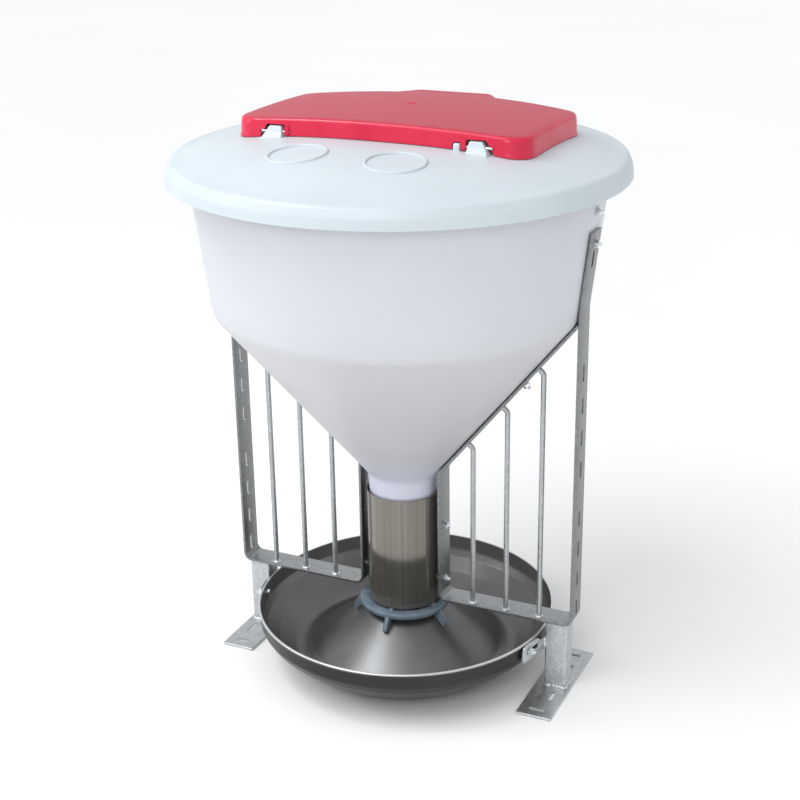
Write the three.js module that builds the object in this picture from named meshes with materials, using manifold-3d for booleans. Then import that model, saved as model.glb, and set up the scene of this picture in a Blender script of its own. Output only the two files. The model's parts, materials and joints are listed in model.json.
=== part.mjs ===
// Round hopper feeder: a conical plastic hopper with a loose lid and a hinged filler flap,
// standing in two bent flat-bar panels over a round stainless pan with a central cone.
// Millimetres, +Z up, origin on the floor below the hopper's axis. The two panels lie along X,
// and the front of the feeder faces -Y.
import * as THREE from "three";
import { mergeVertices } from "three/addons/utils/BufferGeometryUtils.js";
import Module from "manifold-3d";

const GAP = 0.3; // clearance left where two pieces touch
const FACETS = 48; // round the large turned pieces

// Hopper: tapered wall, rounded shoulder, cone and neck.
const HOPPER = {
  topRadius: 300.4,
  rimZ: 809.6,
  wallTopZ: 789,
  shoulderRadius: 277.9,
  shoulderZ: 597,
  shoulderBend: 28,
  neckRadius: 55.8,
  neckZ: 322.5,
  outletRadius: 51,
  outletZ: 258,
  flangeRadius: 323,
  flangeThickness: 5,
  wall: 4,
};
// Lid: shallow dome with a deep skirt, and a D-shaped filler opening behind its hinge lugs.
const LID = {
  skirtRadius: 332.5,
  skirtZ: 789,
  skirtWall: 4,
  rim: [[3, 20], [6, 25], [12, 27]], // rounded edge: distance in from the skirt, height above its foot
  seatInner: 296,
  seatZ: 810,
  domeZ: 847.7,
  domeFall: 29.7, // how far the dome drops from its middle to its edge
  domeRadii: [312, 280, 240, 195, 150, 95],
  thickness: 4,
};
const KNOCKOUT = { radius: 43, width: 5, height: 3, sunk: 2, centres: [[-73, -168.5], [73, -168.5]] };
// Filler flap: straight front wall on the hinges, arched rear edge with a grip tab, gently crowned top.
const FLAP = {
  halfWidth: 224,
  frontY: -83,
  shoulderY: 138,
  rearY: 185,
  frontCorner: 35,
  topZ: 874.4,
  crownFall: 8.8, // how far the top drops from above the lid's middle to its front corners
  crownRadius: 225,
  bevel: 6,
  wall: 3,
  footGap: 1,
  tabHalfWidth: 45,
  tabSplay: 27,
  tabDepth: 18,
};
const OPENING = { inset: 24, collarWall: 3, collarFootZ: 826, collarZ: 852 };
// Hinges: on each side a lug on the lid and the flap's knuckle beside it, and on the right a small inner lug.
const HINGE = {
  axisY: -81,
  axisZ: 850,
  pinRadius: 2,
  boreRadius: 2.3,
  knuckleRadius: 5.5,
  knuckle: [131, 137.5],
  arm: [-2, 4],
  innerLug: [120, 129],
  innerLugRadius: 4.3,
  lugTop: 8.3,
  lugTopXs: [143, 162],
  lugFootXs: [138.5, 176],
  lugProfile: [[-20, -16], [5, -16], [5, 8.3], [-3, 8.3], [-6, 0], [-10, -6], [-20, -12]], // from the axis
  notchTop: 10.5,
  notchBack: 12,
  notchOuter: 178,
  notchInner: { left: 129.5, right: 118 },
};
// Drop tube, which slides up to open the feed gap.
const TUBE = { radius: 58, wall: 1.5, bottomZ: 107, topZ: 292, travel: 20 };
// Feed pan: steep wall, sloping underside, annular valley and central cone. Points are [radius, z].
const PAN = {
  outside: [[168, 14], [174, 15.5], [204, 40], [224, 59], [232, 71], [235, 97]],
  inside: [[233, 97], [230, 72.5], [222, 60.5], [202, 42], [173.5, 18.2], [168, 16.2]],
  coneFootRadius: 160,
  coneTopRadius: 16,
  coneSlope: 0.7,
  coneHeight: 129,
  wall: 2,
};
// Agitator: a loose ring under the tube, carried by arms from a hub on the pan's pivot bolt.
const AGITATOR = {
  inner: 60,
  outer: 72,
  z: [93, 103],
  chamfer: [2, 3],
  hubRadius: 14,
  arms: 5,
  firstArm: -89,
  armWidth: 7,
  armFoot: [[11, 5], [79, 3], [83, 8], [75, 16]], // radius, height above the pan's cone
  armTop: [[70, -3], [52, -2]], // radius, height from the ring's top
};
const PIVOT = {
  radius: 5,
  bore: 5.6,
  hubZ: [123, 137],
  headRadius: 9,
  headHeight: 5,
  spacerRadius: 9,
  nutHeight: 8,
  tail: 3,
};
// Side panels: 40 x 4 flat bar bent round each side of the hopper, with round rods in the window.
const BAR = {
  width: 40,
  thickness: 4,
  bend: 12,
  outerX: 283,
  bottomZ: 117,
  innerX: 66.7,
  topZ: 730,
  breakZ: 619,
  middleX: 175,
};
const ROD = { radius: 4, y: -9.3, xs: [119.7, 174.2, 228.8], elbow: 9, stub: 5 };
const SLOT = { length: 26, width: 7.5, zs: [140, 190, 240, 290, 370, 420, 470, 520, 690] };
const LEG = { x: [241, 276], depth: 30, wall: 2, topZ: 115 };
const FOOT = {
  x: [228, 282.5],
  length: 208,
  thickness: 4,
  slotLength: 25,
  slotWidth: 6.5,
  crossSlot: { x: 255, y: 85 },
  longSlot: { x: 264, y: 42 },
};
// Pan brackets: flat tabs beside the pan's wall. The outline is [distance from the bolt, height].
const BRACKET = {
  azimuth: THREE.MathUtils.degToRad(-13.4),
  offset: 235.8,
  thickness: 2.5,
  boltZ: 83,
  outline: [
    [-40, 69],
    [-30, 69],
    [-24, 67],
    [-16, 66],
    [12, 67],
    [17, 69],
    [19, 76],
    [18, 88],
    [15, 94],
    [8, 96],
    [-14, 96],
    [-23, 94],
    [-29, 88],
    [-40, 88],
  ],
  slot: { length: 28, width: 7, centre: -9 },
};
// M6 fasteners, and where they stand in each panel.
const BOLT = {
  radius: 2.9,
  hole: 3.3,
  headRadius: 5.7,
  headHeight: 4,
  nutRadius: 5.7,
  nutHeight: 5,
  nutClearance: 0.2,
  tail: 4,
};
const STATIONS = { wallZ: 758, barTopZ: 712, coneX: 196, tubeZs: [238, 145] };

const wasm = await Module();
wasm.setup();

// ---- Joining, cutting and placing solids -------------------------------------------------------

// A closed three.js geometry as a solid with its faces outward.
function solid(geometry) {
  const bare = geometry.index ? geometry.clone() : geometry;
  bare.deleteAttribute("normal");
  bare.deleteAttribute("uv");
  const merged = mergeVertices(bare, 1e-4);
  const vertProperties = new Float32Array(merged.attributes.position.array);
  const triVerts = new Uint32Array(merged.index.array);
  const made = new wasm.Manifold(new wasm.Mesh({ numProp: 3, vertProperties, triVerts }));
  if (made.volume() > 0) return made;
  for (let i = 0; i < triVerts.length; i += 3) {
    [triVerts[i + 1], triVerts[i + 2]] = [triVerts[i + 2], triVerts[i + 1]];
  }
  return new wasm.Manifold(new wasm.Mesh({ numProp: 3, vertProperties, triVerts }));
}

function join(first, ...others) {
  return others.reduce((sum, other) => sum.add(other), first);
}

function cut(first, ...tools) {
  return tools.reduce((rest, tool) => rest.subtract(tool), first);
}

function geometryOf(made) {
  const mesh = made.getMesh();
  const geometry = new THREE.BufferGeometry();
  geometry.setAttribute("position", new THREE.BufferAttribute(new Float32Array(mesh.vertProperties), 3));
  geometry.setIndex(new THREE.BufferAttribute(new Uint32Array(mesh.triVerts), 1));
  const flat = geometry.toNonIndexed();
  flat.computeVertexNormals();
  return flat;
}

// A solid turned about X, then Y, then Z (radians), and then moved.
function placed(made, position, turns = [0, 0, 0]) {
  const matrix = new THREE.Matrix4().makeRotationFromEuler(new THREE.Euler(...turns, "ZYX"));
  return solid(geometryOf(made).applyMatrix4(matrix.setPosition(...position)));
}

function material(color, roughness, metalness) {
  return new THREE.MeshStandardMaterial({ color, roughness, metalness });
}

const MATERIALS = {
  hopper: material(0xd9d9e0, 0.45, 0),
  lid: material(0xdde7ee, 0.45, 0),
  flap: material(0xd63a5c, 0.35, 0),
  agitator: material(0x66788a, 0.5, 0),
  mirror: material(0x9a958c, 0.12, 1),
  pan: material(0x565353, 0.3, 1),
  galvanised: material(0x9da3a6, 0.45, 0.9),
  zinc: material(0xc3ccd0, 0.3, 1),
};

const feeder = new THREE.Group();

function addPart(name, made, finish, parent = feeder) {
  const mesh = new THREE.Mesh(geometryOf(made), finish);
  mesh.name = name;
  parent.add(mesh);
  return mesh;
}

// ---- Basic shapes ------------------------------------------------------------------------------

// A profile of [radius, height] points turned about Z. It ends on the axis, or else closes on itself.
function turned(profile, facets = FACETS) {
  const closed = profile[0][0] === 0 ? profile : [...profile, profile[0]];
  const points = closed.map(([r, z]) => new THREE.Vector2(r, z));
  return solid(new THREE.LatheGeometry(points, facets).rotateX(Math.PI / 2));
}

function block(xs, ys, zs) {
  const size = [xs, ys, zs].map(([low, high]) => high - low);
  const centre = [xs, ys, zs].map(([low, high]) => (low + high) / 2);
  return solid(new THREE.BoxGeometry(...size).translate(...centre));
}

// A round bar from one point to another.
function rodBetween(from, to, radius, facets = 12) {
  const start = new THREE.Vector3(...from);
  const along = new THREE.Vector3(...to).sub(start);
  const geometry = new THREE.CylinderGeometry(radius, radius, along.length(), facets);
  const upright = new THREE.Vector3(0, 1, 0);
  geometry.applyQuaternion(new THREE.Quaternion().setFromUnitVectors(upright, along.clone().normalize()));
  const middle = start.addScaledVector(along, 0.5);
  return solid(geometry.translate(middle.x, middle.y, middle.z));
}

function extruded(shape, depth, curveSegments) {
  return new THREE.ExtrudeGeometry(shape, { depth, bevelEnabled: false, curveSegments });
}

// An outline drawn in the XY plane, raised from one height to another.
function raised(shape, [low, high], curveSegments = 4) {
  return solid(extruded(shape, high - low, curveSegments).translate(0, 0, low));
}

// An outline drawn in the XZ plane, made solid across Y.
function across(shape, [low, high], curveSegments = 4) {
  return solid(extruded(shape, high - low, curveSegments).rotateX(Math.PI / 2).translate(0, high, 0));
}

// An outline drawn in the YZ plane, made solid along X.
function along(shape, [low, high], curveSegments = 4) {
  const geometry = extruded(shape, high - low, curveSegments).rotateX(Math.PI / 2).rotateZ(Math.PI / 2);
  return solid(geometry.translate(low, 0, 0));
}

// A closed skin over rings of points that all have the same count; the last ring joins the first.
function skinned(rings) {
  const count = rings[0].length;
  const indices = [];
  rings.forEach((_, i) => {
    const near = i * count;
    const far = ((i + 1) % rings.length) * count;
    for (let j = 0; j < count; j++) {
      const k = (j + 1) % count;
      indices.push(near + j, near + k, far + k, near + j, far + k, far + j);
    }
  });
  const geometry = new THREE.BufferGeometry();
  geometry.setAttribute("position", new THREE.Float32BufferAttribute(rings.flat(2), 3));
  geometry.setIndex(indices);
  return solid(geometry);
}

function polygon(points) {
  return new THREE.Shape(points.map(([x, y]) => new THREE.Vector2(x, y)));
}

// A slot outline with round ends, lying along the drawing's first axis or, upright, along its second.
function stadium(length, width, upright = false) {
  const half = (length - width) / 2;
  const [dx, dy] = upright ? [0, half] : [half, 0];
  const start = upright ? 0 : -Math.PI / 2;
  const shape = new THREE.Shape();
  shape.absarc(dx, dy, width / 2, start, start + Math.PI, false);
  shape.absarc(-dx, -dy, width / 2, start + Math.PI, start + 2 * Math.PI, false);
  return shape;
}

// A path through corner points, with each inner corner rounded to the bend radius.
function rounded(corners, radius, steps = 2) {
  const points = corners.map(([x, z]) => new THREE.Vector2(x, z));
  const path = [points[0]];
  for (let i = 1; i < points.length - 1; i++) {
    const back = points[i - 1].clone().sub(points[i]).normalize();
    const ahead = points[i + 1].clone().sub(points[i]).normalize();
    const half = back.angleTo(ahead) / 2;
    const reach = radius / Math.tan(half);
    const start = points[i].clone().addScaledVector(back, reach);
    const end = points[i].clone().addScaledVector(ahead, reach);
    const inwards = back.clone().add(ahead).normalize();
    const centre = points[i].clone().addScaledVector(inwards, radius / Math.sin(half));
    const from = start.clone().sub(centre);
    const sweep = Math.sign(from.cross(end.clone().sub(centre))) * (Math.PI - 2 * half);
    for (let step = 0; step <= steps; step++) {
      path.push(from.clone().rotateAround(new THREE.Vector2(), (sweep * step) / steps).add(centre));
    }
  }
  path.push(points[points.length - 1]);
  return path;
}

// A path moved sideways by a distance, mitred at its corners.
function offset(path, distance) {
  return path.map((point, i) => {
    const into = path[i].clone().sub(path[Math.max(i - 1, 0)]).normalize();
    const out = path[Math.min(i + 1, path.length - 1)].clone().sub(path[i]).normalize();
    const first = i === 0 ? out : into;
    const second = i === path.length - 1 ? into : out;
    const normal = new THREE.Vector2(-first.y - second.y, first.x + second.x);
    return point.clone().addScaledVector(normal, distance / (1 + first.dot(second)));
  });
}

// A flat bar bent along a path in the XZ plane.
function bentBar(corners) {
  const path = rounded(corners, BAR.bend);
  const outline = [...offset(path, BAR.thickness / 2), ...offset(path, -BAR.thickness / 2).reverse()];
  return across(new THREE.Shape(outline), [-BAR.width / 2, BAR.width / 2]);
}

// ---- Hopper ------------------------------------------------------------------------------------

const wallTaper = (HOPPER.topRadius - HOPPER.shoulderRadius) / (HOPPER.wallTopZ - HOPPER.shoulderZ);
const coneRise = (HOPPER.shoulderZ - HOPPER.neckZ) / (HOPPER.shoulderRadius - HOPPER.neckRadius);
const coneAngle = Math.atan(coneRise);

function hopperRadiusAt(z) {
  return HOPPER.shoulderRadius + wallTaper * (z - HOPPER.shoulderZ);
}

function hopperPart() {
  const flangeZ = HOPPER.rimZ - HOPPER.flangeThickness;
  const centreLine = rounded(
    [
      [HOPPER.outletRadius, HOPPER.outletZ],
      [HOPPER.neckRadius, HOPPER.neckZ],
      [HOPPER.shoulderRadius, HOPPER.shoulderZ],
      [hopperRadiusAt(flangeZ), flangeZ],
    ],
    HOPPER.shoulderBend,
  );
  const outside = centreLine.map((p) => [p.x, p.y]);
  const inside = offset(centreLine, HOPPER.wall).map((p) => [p.x, p.y]).reverse();
  const inner = inside[0][0];
  const flange = [
    [HOPPER.flangeRadius, flangeZ],
    [HOPPER.flangeRadius, HOPPER.rimZ],
    [inner, HOPPER.rimZ],
  ];
  return turned([...outside, ...flange, ...inside.slice(1)]);
}

// ---- Lid, filler flap and hinges ---------------------------------------------------------------

const domeEdge = LID.domeRadii[0];

function domeZ(radius) {
  return LID.domeZ - LID.domeFall * (radius / domeEdge) ** 3;
}

function domeProfile(lift) {
  return LID.domeRadii.map((r) => [r, domeZ(r) + lift]);
}

// Everything below the lid's upper surface, lifted by a clearance.
function domeSolid(clearance) {
  const margin = 60;
  const wide = LID.skirtRadius + margin;
  const floor = LID.skirtZ - margin;
  return turned([
    [0, floor],
    [wide, floor],
    [wide, domeZ(wide)],
    ...domeProfile(clearance),
    [0, LID.domeZ + clearance],
  ]);
}

// The D-shaped outline of the flap, moved inwards by an inset.
function flapOutline(inset, tab = false) {
  const half = FLAP.halfWidth - inset;
  const front = FLAP.frontY + inset;
  const side = FLAP.shoulderY - inset / 2;
  const rear = FLAP.rearY - inset;
  const corner = Math.max(FLAP.frontCorner - inset, 8);
  const sagitta = rear - side;
  const radius = (half ** 2 + sagitta ** 2) / (2 * sagitta);
  const sweep = Math.asin(half / radius);
  const shape = new THREE.Shape();
  const frontSteps = 8;
  shape.moveTo(corner - half, front);
  for (let i = 1; i <= frontSteps; i++) shape.lineTo((half - corner) * ((2 * i) / frontSteps - 1), front);
  shape.absarc(half - corner, front + corner, corner, -Math.PI / 2, 0, false);
  if (!tab) {
    shape.absarc(0, rear - radius, radius, Math.PI / 2 - sweep, Math.PI / 2 + sweep, false);
  } else {
    const tabHalf = FLAP.tabHalfWidth - inset;
    const tabSweep = Math.asin((tabHalf + FLAP.tabSplay) / radius);
    shape.absarc(0, rear - radius, radius, Math.PI / 2 - sweep, Math.PI / 2 - tabSweep, false);
    shape.lineTo(tabHalf, rear + FLAP.tabDepth);
    shape.lineTo(-tabHalf, rear + FLAP.tabDepth);
    shape.absarc(0, rear - radius, radius, Math.PI / 2 + tabSweep, Math.PI / 2 + sweep, false);
  }
  shape.absarc(corner - half, front + corner, corner, Math.PI, Math.PI * 1.5, false);
  return shape;
}

function mirroredRange([low, high], side) {
  return side > 0 ? [low, high] : [-high, -low];
}

// A round bar on the hinge axis over a range of X.
function onHingeAxis([low, high], radius, facets) {
  return rodBetween([low, HINGE.axisY, HINGE.axisZ], [high, HINGE.axisY, HINGE.axisZ], radius, facets);
}

function pinRange(label) {
  return mirroredRange([HINGE.notchInner[label] + 1, HINGE.notchOuter - 2], label === "right" ? 1 : -1);
}

function pinBores() {
  return ["left", "right"].map((label) => {
    const [low, high] = pinRange(label);
    return onHingeAxis([low - 1, high + 1], HINGE.boreRadius);
  });
}

// A hinge lug: flat top behind the pin, a hollow front falling forwards to the lid, sides leaning out.
function hingeLug(side) {
  const { axisY, axisZ, lugProfile, lugTop, lugTopXs, lugFootXs } = HINGE;
  const [foot, top] = [axisZ + lugProfile[0][1], axisZ + lugTop];
  const range = mirroredRange(lugFootXs, side);
  const body = placed(along(polygon(lugProfile), range), [0, axisY, axisZ]);
  const wedges = [0, 1].map((end) => {
    const beyond = lugFootXs[end] + (end ? 1 : -1);
    const outline = polygon([
      [side * lugFootXs[end], foot],
      [side * lugTopXs[end], top],
      [side * lugTopXs[end], top + 1],
      [side * beyond, top + 1],
      [side * beyond, foot],
    ]);
    return across(outline, [axisY - 30, axisY + 10]);
  });
  return cut(body, ...wedges);
}

function innerLug() {
  const { axisY, axisZ, innerLugRadius } = HINGE;
  const stem = block(HINGE.innerLug, [axisY - innerLugRadius, axisY + innerLugRadius], [axisZ - 10, axisZ]);
  return join(onHingeAxis(HINGE.innerLug, innerLugRadius, 16), stem);
}

function knockoutRing([x, y]) {
  const distance = Math.hypot(x, y);
  const slope = (3 * LID.domeFall * distance ** 2) / domeEdge ** 3;
  const inner = KNOCKOUT.radius - KNOCKOUT.width;
  const height = KNOCKOUT.height + KNOCKOUT.sunk;
  const ring = turned([[inner, 0], [KNOCKOUT.radius, 0], [KNOCKOUT.radius, height], [inner, height]], 24);
  const tilt = [0, Math.atan(slope), Math.atan2(y, x)];
  return placed(ring, [x, y, domeZ(distance) - KNOCKOUT.sunk], tilt);
}

function lidPart() {
  const { thickness, seatInner, seatZ, skirtRadius, skirtZ, skirtWall } = LID;
  const skin = turned([
    [0, LID.domeZ - thickness],
    ...domeProfile(-thickness).reverse().slice(0, -1),
    [seatInner, seatZ],
    [skirtRadius - LID.rim[0][0] - skirtWall, seatZ],
    [skirtRadius - skirtWall, skirtZ],
    [skirtRadius, skirtZ],
    ...LID.rim.map(([inset, rise]) => [skirtRadius - inset, skirtZ + rise]),
    ...domeProfile(0),
    [0, LID.domeZ],
  ]);
  const { inset, collarWall, collarFootZ, collarZ } = OPENING;
  const hole = raised(flapOutline(inset), [skirtZ, FLAP.topZ]);
  const upstand = raised(flapOutline(inset - collarWall), [collarFootZ, collarZ]);
  const collar = cut(upstand, domeSolid(-thickness / 2));
  const lugs = [hingeLug(-1), hingeLug(1), innerLug()].map((lug) => cut(lug, domeSolid(-thickness / 2)));
  return cut(join(skin, ...KNOCKOUT.centres.map(knockoutRing), ...lugs, collar), hole, ...pinBores());
}

// The height of the flap's crowned top at a point.
function crownZ(x, y) {
  return FLAP.topZ - (FLAP.crownFall * (x ** 2 + y ** 2)) / FLAP.crownRadius ** 2;
}

// The flap's outer or inner skin as rings of points from its foot to the middle of its top.
function flapSkin(inset, drop) {
  const { bevel } = FLAP;
  const ringAt = (distance, lower, shrink = 1) => {
    const [centreX, centreY] = [0, FLAP.rearY / 3];
    return flapOutline(inset + distance, true).getPoints(4).map((p) => {
      const x = centreX + (p.x - centreX) * shrink;
      const y = centreY + (p.y - centreY) * shrink;
      return [x, y, lower === null ? LID.skirtZ : crownZ(x, y) - drop - lower];
    });
  };
  return [
    ringAt(0, null),
    ringAt(0, bevel),
    ringAt(bevel * 0.3, bevel * 0.3),
    ringAt(bevel, 0),
    ringAt(bevel, 0, 0.6),
    ringAt(bevel, 0, 0.25),
    ringAt(bevel, 0, 0),
  ];
}

function flapPart() {
  const { wall, footGap, frontY } = FLAP;
  const { axisY, axisZ, notchTop, notchBack, notchInner, notchOuter, knuckle, arm } = HINGE;
  const hollow = skinned([...flapSkin(0, 0), ...flapSkin(wall, wall).reverse()]);
  const shell = cut(hollow, domeSolid(footGap));
  const notches = [["left", -1], ["right", 1]].map(([label, side]) =>
    block(
      mirroredRange([notchInner[label], notchOuter], side),
      [frontY - 1, axisY + notchBack],
      [LID.skirtZ, axisZ + notchTop],
    ),
  );
  const knuckles = [-1, 1].flatMap((side) => {
    const range = mirroredRange(knuckle, side);
    return [
      onHingeAxis(range, HINGE.knuckleRadius, 16),
      block(range, [axisY + arm[0], axisY + arm[1]], [axisZ, axisZ + notchTop + wall]),
    ];
  });
  return cut(join(cut(shell, ...notches), ...knuckles), ...pinBores());
}

function buildLid() {
  addPart("hopper_lid", lidPart(), MATERIALS.lid);
  addPart("filler_flap", flapPart(), MATERIALS.flap);
  for (const label of ["left", "right"]) {
    addPart("hinge_pin_" + label, onHingeAxis(pinRange(label), HINGE.pinRadius), MATERIALS.zinc);
  }
}

// ---- Drop tube ---------------------------------------------------------------------------------

function tubePart() {
  const inner = TUBE.radius - TUBE.wall;
  const shell = turned([
    [inner, TUBE.bottomZ],
    [TUBE.radius, TUBE.bottomZ],
    [TUBE.radius, TUBE.topZ],
    [inner, TUBE.topZ],
  ]);
  const width = 2 * (BOLT.hole + GAP);
  const beyond = TUBE.radius + 20;
  const slot = along(stadium(TUBE.travel + width, width, true), [-beyond, beyond], 4);
  const slots = STATIONS.tubeZs.map((z) => placed(slot, [0, 0, z - TUBE.travel / 2]));
  return cut(shell, ...slots);
}

// ---- Feed pan and agitator ---------------------------------------------------------------------

function coneZ(radius) {
  return PAN.coneHeight - PAN.coneSlope * radius;
}

function panPart() {
  const { wall, coneFootRadius, coneTopRadius } = PAN;
  const topZ = coneZ(coneTopRadius);
  const footZ = coneZ(coneFootRadius);
  const drop = wall * Math.hypot(1, PAN.coneSlope); // the cone sheet's thickness measured downwards
  const profile = [
    ...PAN.inside,
    [coneFootRadius, footZ],
    [coneTopRadius, topZ],
    [PIVOT.bore, topZ],
    [PIVOT.bore, topZ - wall],
    [coneTopRadius - 1, topZ - wall],
    [coneFootRadius, footZ - drop],
    ...PAN.outside,
  ];
  const holes = [-1, 1].map((side) => bracketHole(side));
  return cut(turned(profile), ...holes);
}

function agitatorPart() {
  const { inner, outer, chamfer, hubRadius, armFoot, armTop } = AGITATOR;
  const [low, high] = AGITATOR.z;
  const ring = turned(
    [
      [inner, low],
      [outer - chamfer[0], low],
      [outer, low + chamfer[1]],
      [outer, high],
      [inner, high],
    ],
    32,
  );
  const [hubLow, hubHigh] = PIVOT.hubZ;
  const hub = turned(
    [
      [PIVOT.bore, hubLow],
      [hubRadius, hubLow],
      [hubRadius, hubHigh],
      [PIVOT.bore, hubHigh],
    ],
    24,
  );
  const profile = polygon([
    ...armFoot.map(([r, height]) => [r, coneZ(r) + height]),
    ...armTop.map(([r, height]) => [r, high + height]),
    [armFoot[0][0], hubHigh - 2],
  ]);
  const arm = across(profile, [-AGITATOR.armWidth / 2, AGITATOR.armWidth / 2]);
  const step = 360 / AGITATOR.arms;
  const arms = Array.from({ length: AGITATOR.arms }, (_, i) =>
    placed(arm, [0, 0, 0], [0, 0, THREE.MathUtils.degToRad(AGITATOR.firstArm + step * i)]),
  );
  const bore = rodBetween([0, 0, low], [0, 0, hubHigh + 1], PIVOT.bore, 24);
  return cut(join(ring, hub, ...arms), bore);
}

function buildPivot() {
  const apexZ = coneZ(PAN.coneTopRadius);
  const [hubLow, hubHigh] = PIVOT.hubZ;
  const headZ = hubHigh + GAP;
  const tailZ = apexZ - PAN.wall - PIVOT.nutHeight - PIVOT.tail;
  const head = rodBetween([0, 0, headZ], [0, 0, headZ + PIVOT.headHeight], PIVOT.headRadius, 6);
  const shank = rodBetween([0, 0, tailZ], [0, 0, headZ + 1], PIVOT.radius, 16);
  addPart("pivot_bolt", join(shank, head), MATERIALS.zinc);
  const ring = (radius, low, high, facets) =>
    cut(
      rodBetween([0, 0, low], [0, 0, high], radius, facets),
      rodBetween([0, 0, low - 1], [0, 0, high + 1], PIVOT.radius + GAP, 16),
    );
  addPart("pivot_spacer", ring(PIVOT.spacerRadius, apexZ + GAP, hubLow - GAP, 20), MATERIALS.zinc);
  const nutTop = apexZ - PAN.wall - GAP;
  addPart("pivot_nut", ring(PIVOT.headRadius, nutTop - PIVOT.nutHeight, nutTop, 6), MATERIALS.zinc);
}

// ---- Fasteners ---------------------------------------------------------------------------------

// A place where a bolt joins a stack: the nut's seat, the outward direction and the stack's depth.
function station(name, seat, direction, stack) {
  return {
    name,
    seat: new THREE.Vector3(...seat),
    direction: new THREE.Vector3(...direction).normalize(),
    stack,
  };
}

// The point on a station's axis at a distance outwards from the nut's seat.
function pointOn(place, distance) {
  return place.seat.clone().addScaledVector(place.direction, distance).toArray();
}

function boltHole(place) {
  const [inside, outside] = [place.stack + 6, 20];
  return rodBetween(pointOn(place, -inside), pointOn(place, outside), BOLT.hole);
}

function buildFastener(place, parent) {
  const headSeat = -place.stack - GAP;
  const headEnd = headSeat - BOLT.headHeight;
  const nutEnd = GAP + BOLT.nutHeight;
  const head = rodBetween(pointOn(place, headEnd), pointOn(place, headSeat), BOLT.headRadius, 6);
  const shank = rodBetween(pointOn(place, headSeat - 1), pointOn(place, nutEnd + BOLT.tail), BOLT.radius, 10);
  addPart(place.name + "_bolt", join(head, shank), MATERIALS.zinc, parent);
  const nut = rodBetween(pointOn(place, GAP), pointOn(place, nutEnd), BOLT.nutRadius, 6);
  const boreRadius = BOLT.radius + BOLT.nutClearance;
  const bore = rodBetween(pointOn(place, -1), pointOn(place, nutEnd + 1), boreRadius, 10);
  addPart(place.name + "_nut", cut(nut, bore), MATERIALS.zinc, parent);
}

// ---- Side panels -------------------------------------------------------------------------------

const barHalf = BAR.thickness / 2;
// The sloping bar follows the cone's underside, a gap away from it.
const slopeNormal = [Math.sin(coneAngle), -Math.cos(coneAngle)];
const slopeOffset = barHalf + 2 * GAP;
const slopeStart = [
  HOPPER.neckRadius + slopeNormal[0] * slopeOffset,
  HOPPER.neckZ + slopeNormal[1] * slopeOffset,
];

function slopeZ(x) {
  return slopeStart[1] + (x - slopeStart[0]) * coneRise;
}

// The outer bar's top part leans out along the hopper's wall.
function leanX(z) {
  return hopperRadiusAt(z) + 2 * GAP + barHalf;
}

function panelStations(label) {
  const { wallZ, barTopZ, coneX, tubeZs } = STATIONS;
  const lean = [1, 0, -wallTaper];
  const wallRadius = hopperRadiusAt(wallZ);
  const coneSeat = [coneX + slopeNormal[0] * barHalf, 0, slopeZ(coneX) + slopeNormal[1] * barHalf];
  const wallStack = HOPPER.wall + 1;
  const barStack = HOPPER.wall + BAR.thickness + 3 * GAP;
  const tubeStack = BAR.innerX + barHalf - TUBE.radius + TUBE.wall + 1;
  return [
    station("wall_" + label, [wallRadius + GAP, 0, wallZ], lean, wallStack),
    station("bar_top_" + label, [leanX(barTopZ) + barHalf, 0, barTopZ], lean, barStack),
    station("cone_" + label, coneSeat, [slopeNormal[0], 0, slopeNormal[1]], barStack),
    ...["upper", "lower"].map((level, i) =>
      station("tube_" + level + "_" + label, [BAR.innerX + barHalf, 0, tubeZs[i]], [1, 0, 0], tubeStack),
    ),
  ];
}

function panelBar(holes) {
  const middle = [BAR.middleX, BAR.bottomZ]; // the two bent halves meet here
  const outer = bentBar([
    [leanX(BAR.topZ), BAR.topZ],
    [BAR.outerX, BAR.breakZ],
    [BAR.outerX, BAR.bottomZ],
    middle,
  ]);
  const inner = bentBar([
    middle,
    [BAR.innerX, BAR.bottomZ],
    [BAR.innerX, slopeZ(BAR.innerX)],
    [BAR.outerX - 0.5, slopeZ(BAR.outerX - 0.5)],
  ]);
  const tool = along(stadium(SLOT.length, SLOT.width, true), [-15, 15], 2);
  const slots = SLOT.zs.map((z) => placed(tool, [z > BAR.breakZ ? leanX(z) : BAR.outerX, 0, z]));
  return cut(join(outer, inner), ...slots, ...holes);
}

// A rod stands on the bottom bar and ends in a short elbow square to the sloping bar.
function rodPart(x) {
  const reach = ROD.elbow * Math.tan(coneAngle / 2);
  const inward = new THREE.Vector3(-slopeNormal[0], 0, -slopeNormal[1]);
  const endX = x + inward.x * (reach + ROD.stub);
  const underZ = slopeZ(endX) - (barHalf + GAP) / Math.cos(coneAngle);
  const corner = new THREE.Vector3(x, ROD.y, underZ - inward.z * (reach + ROD.stub));
  const start = corner.clone().setZ(corner.z - reach);
  const upright = rodBetween([x, ROD.y, BAR.bottomZ + barHalf + GAP], start.toArray(), ROD.radius, 8);
  const end = new THREE.Vector3(endX, ROD.y, underZ);
  const bend = new THREE.QuadraticBezierCurve3(start.clone().setZ(start.z - 1), corner, end);
  const section = new THREE.Shape().absarc(0, 0, ROD.radius, 0, 2 * Math.PI, false);
  const elbow = new THREE.ExtrudeGeometry(section, { steps: 4, curveSegments: 4, extrudePath: bend });
  return join(upright, solid(elbow));
}

function legPart() {
  const [low, high] = LEG.x;
  const half = LEG.depth / 2;
  const { wall } = LEG;
  const zs = [FOOT.thickness + GAP, LEG.topZ - GAP];
  const bore = block([low + wall, high - wall], [wall - half, half - wall], [zs[0] - 1, zs[1] + 1]);
  return cut(block(LEG.x, [-half, half], zs), bore);
}

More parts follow.
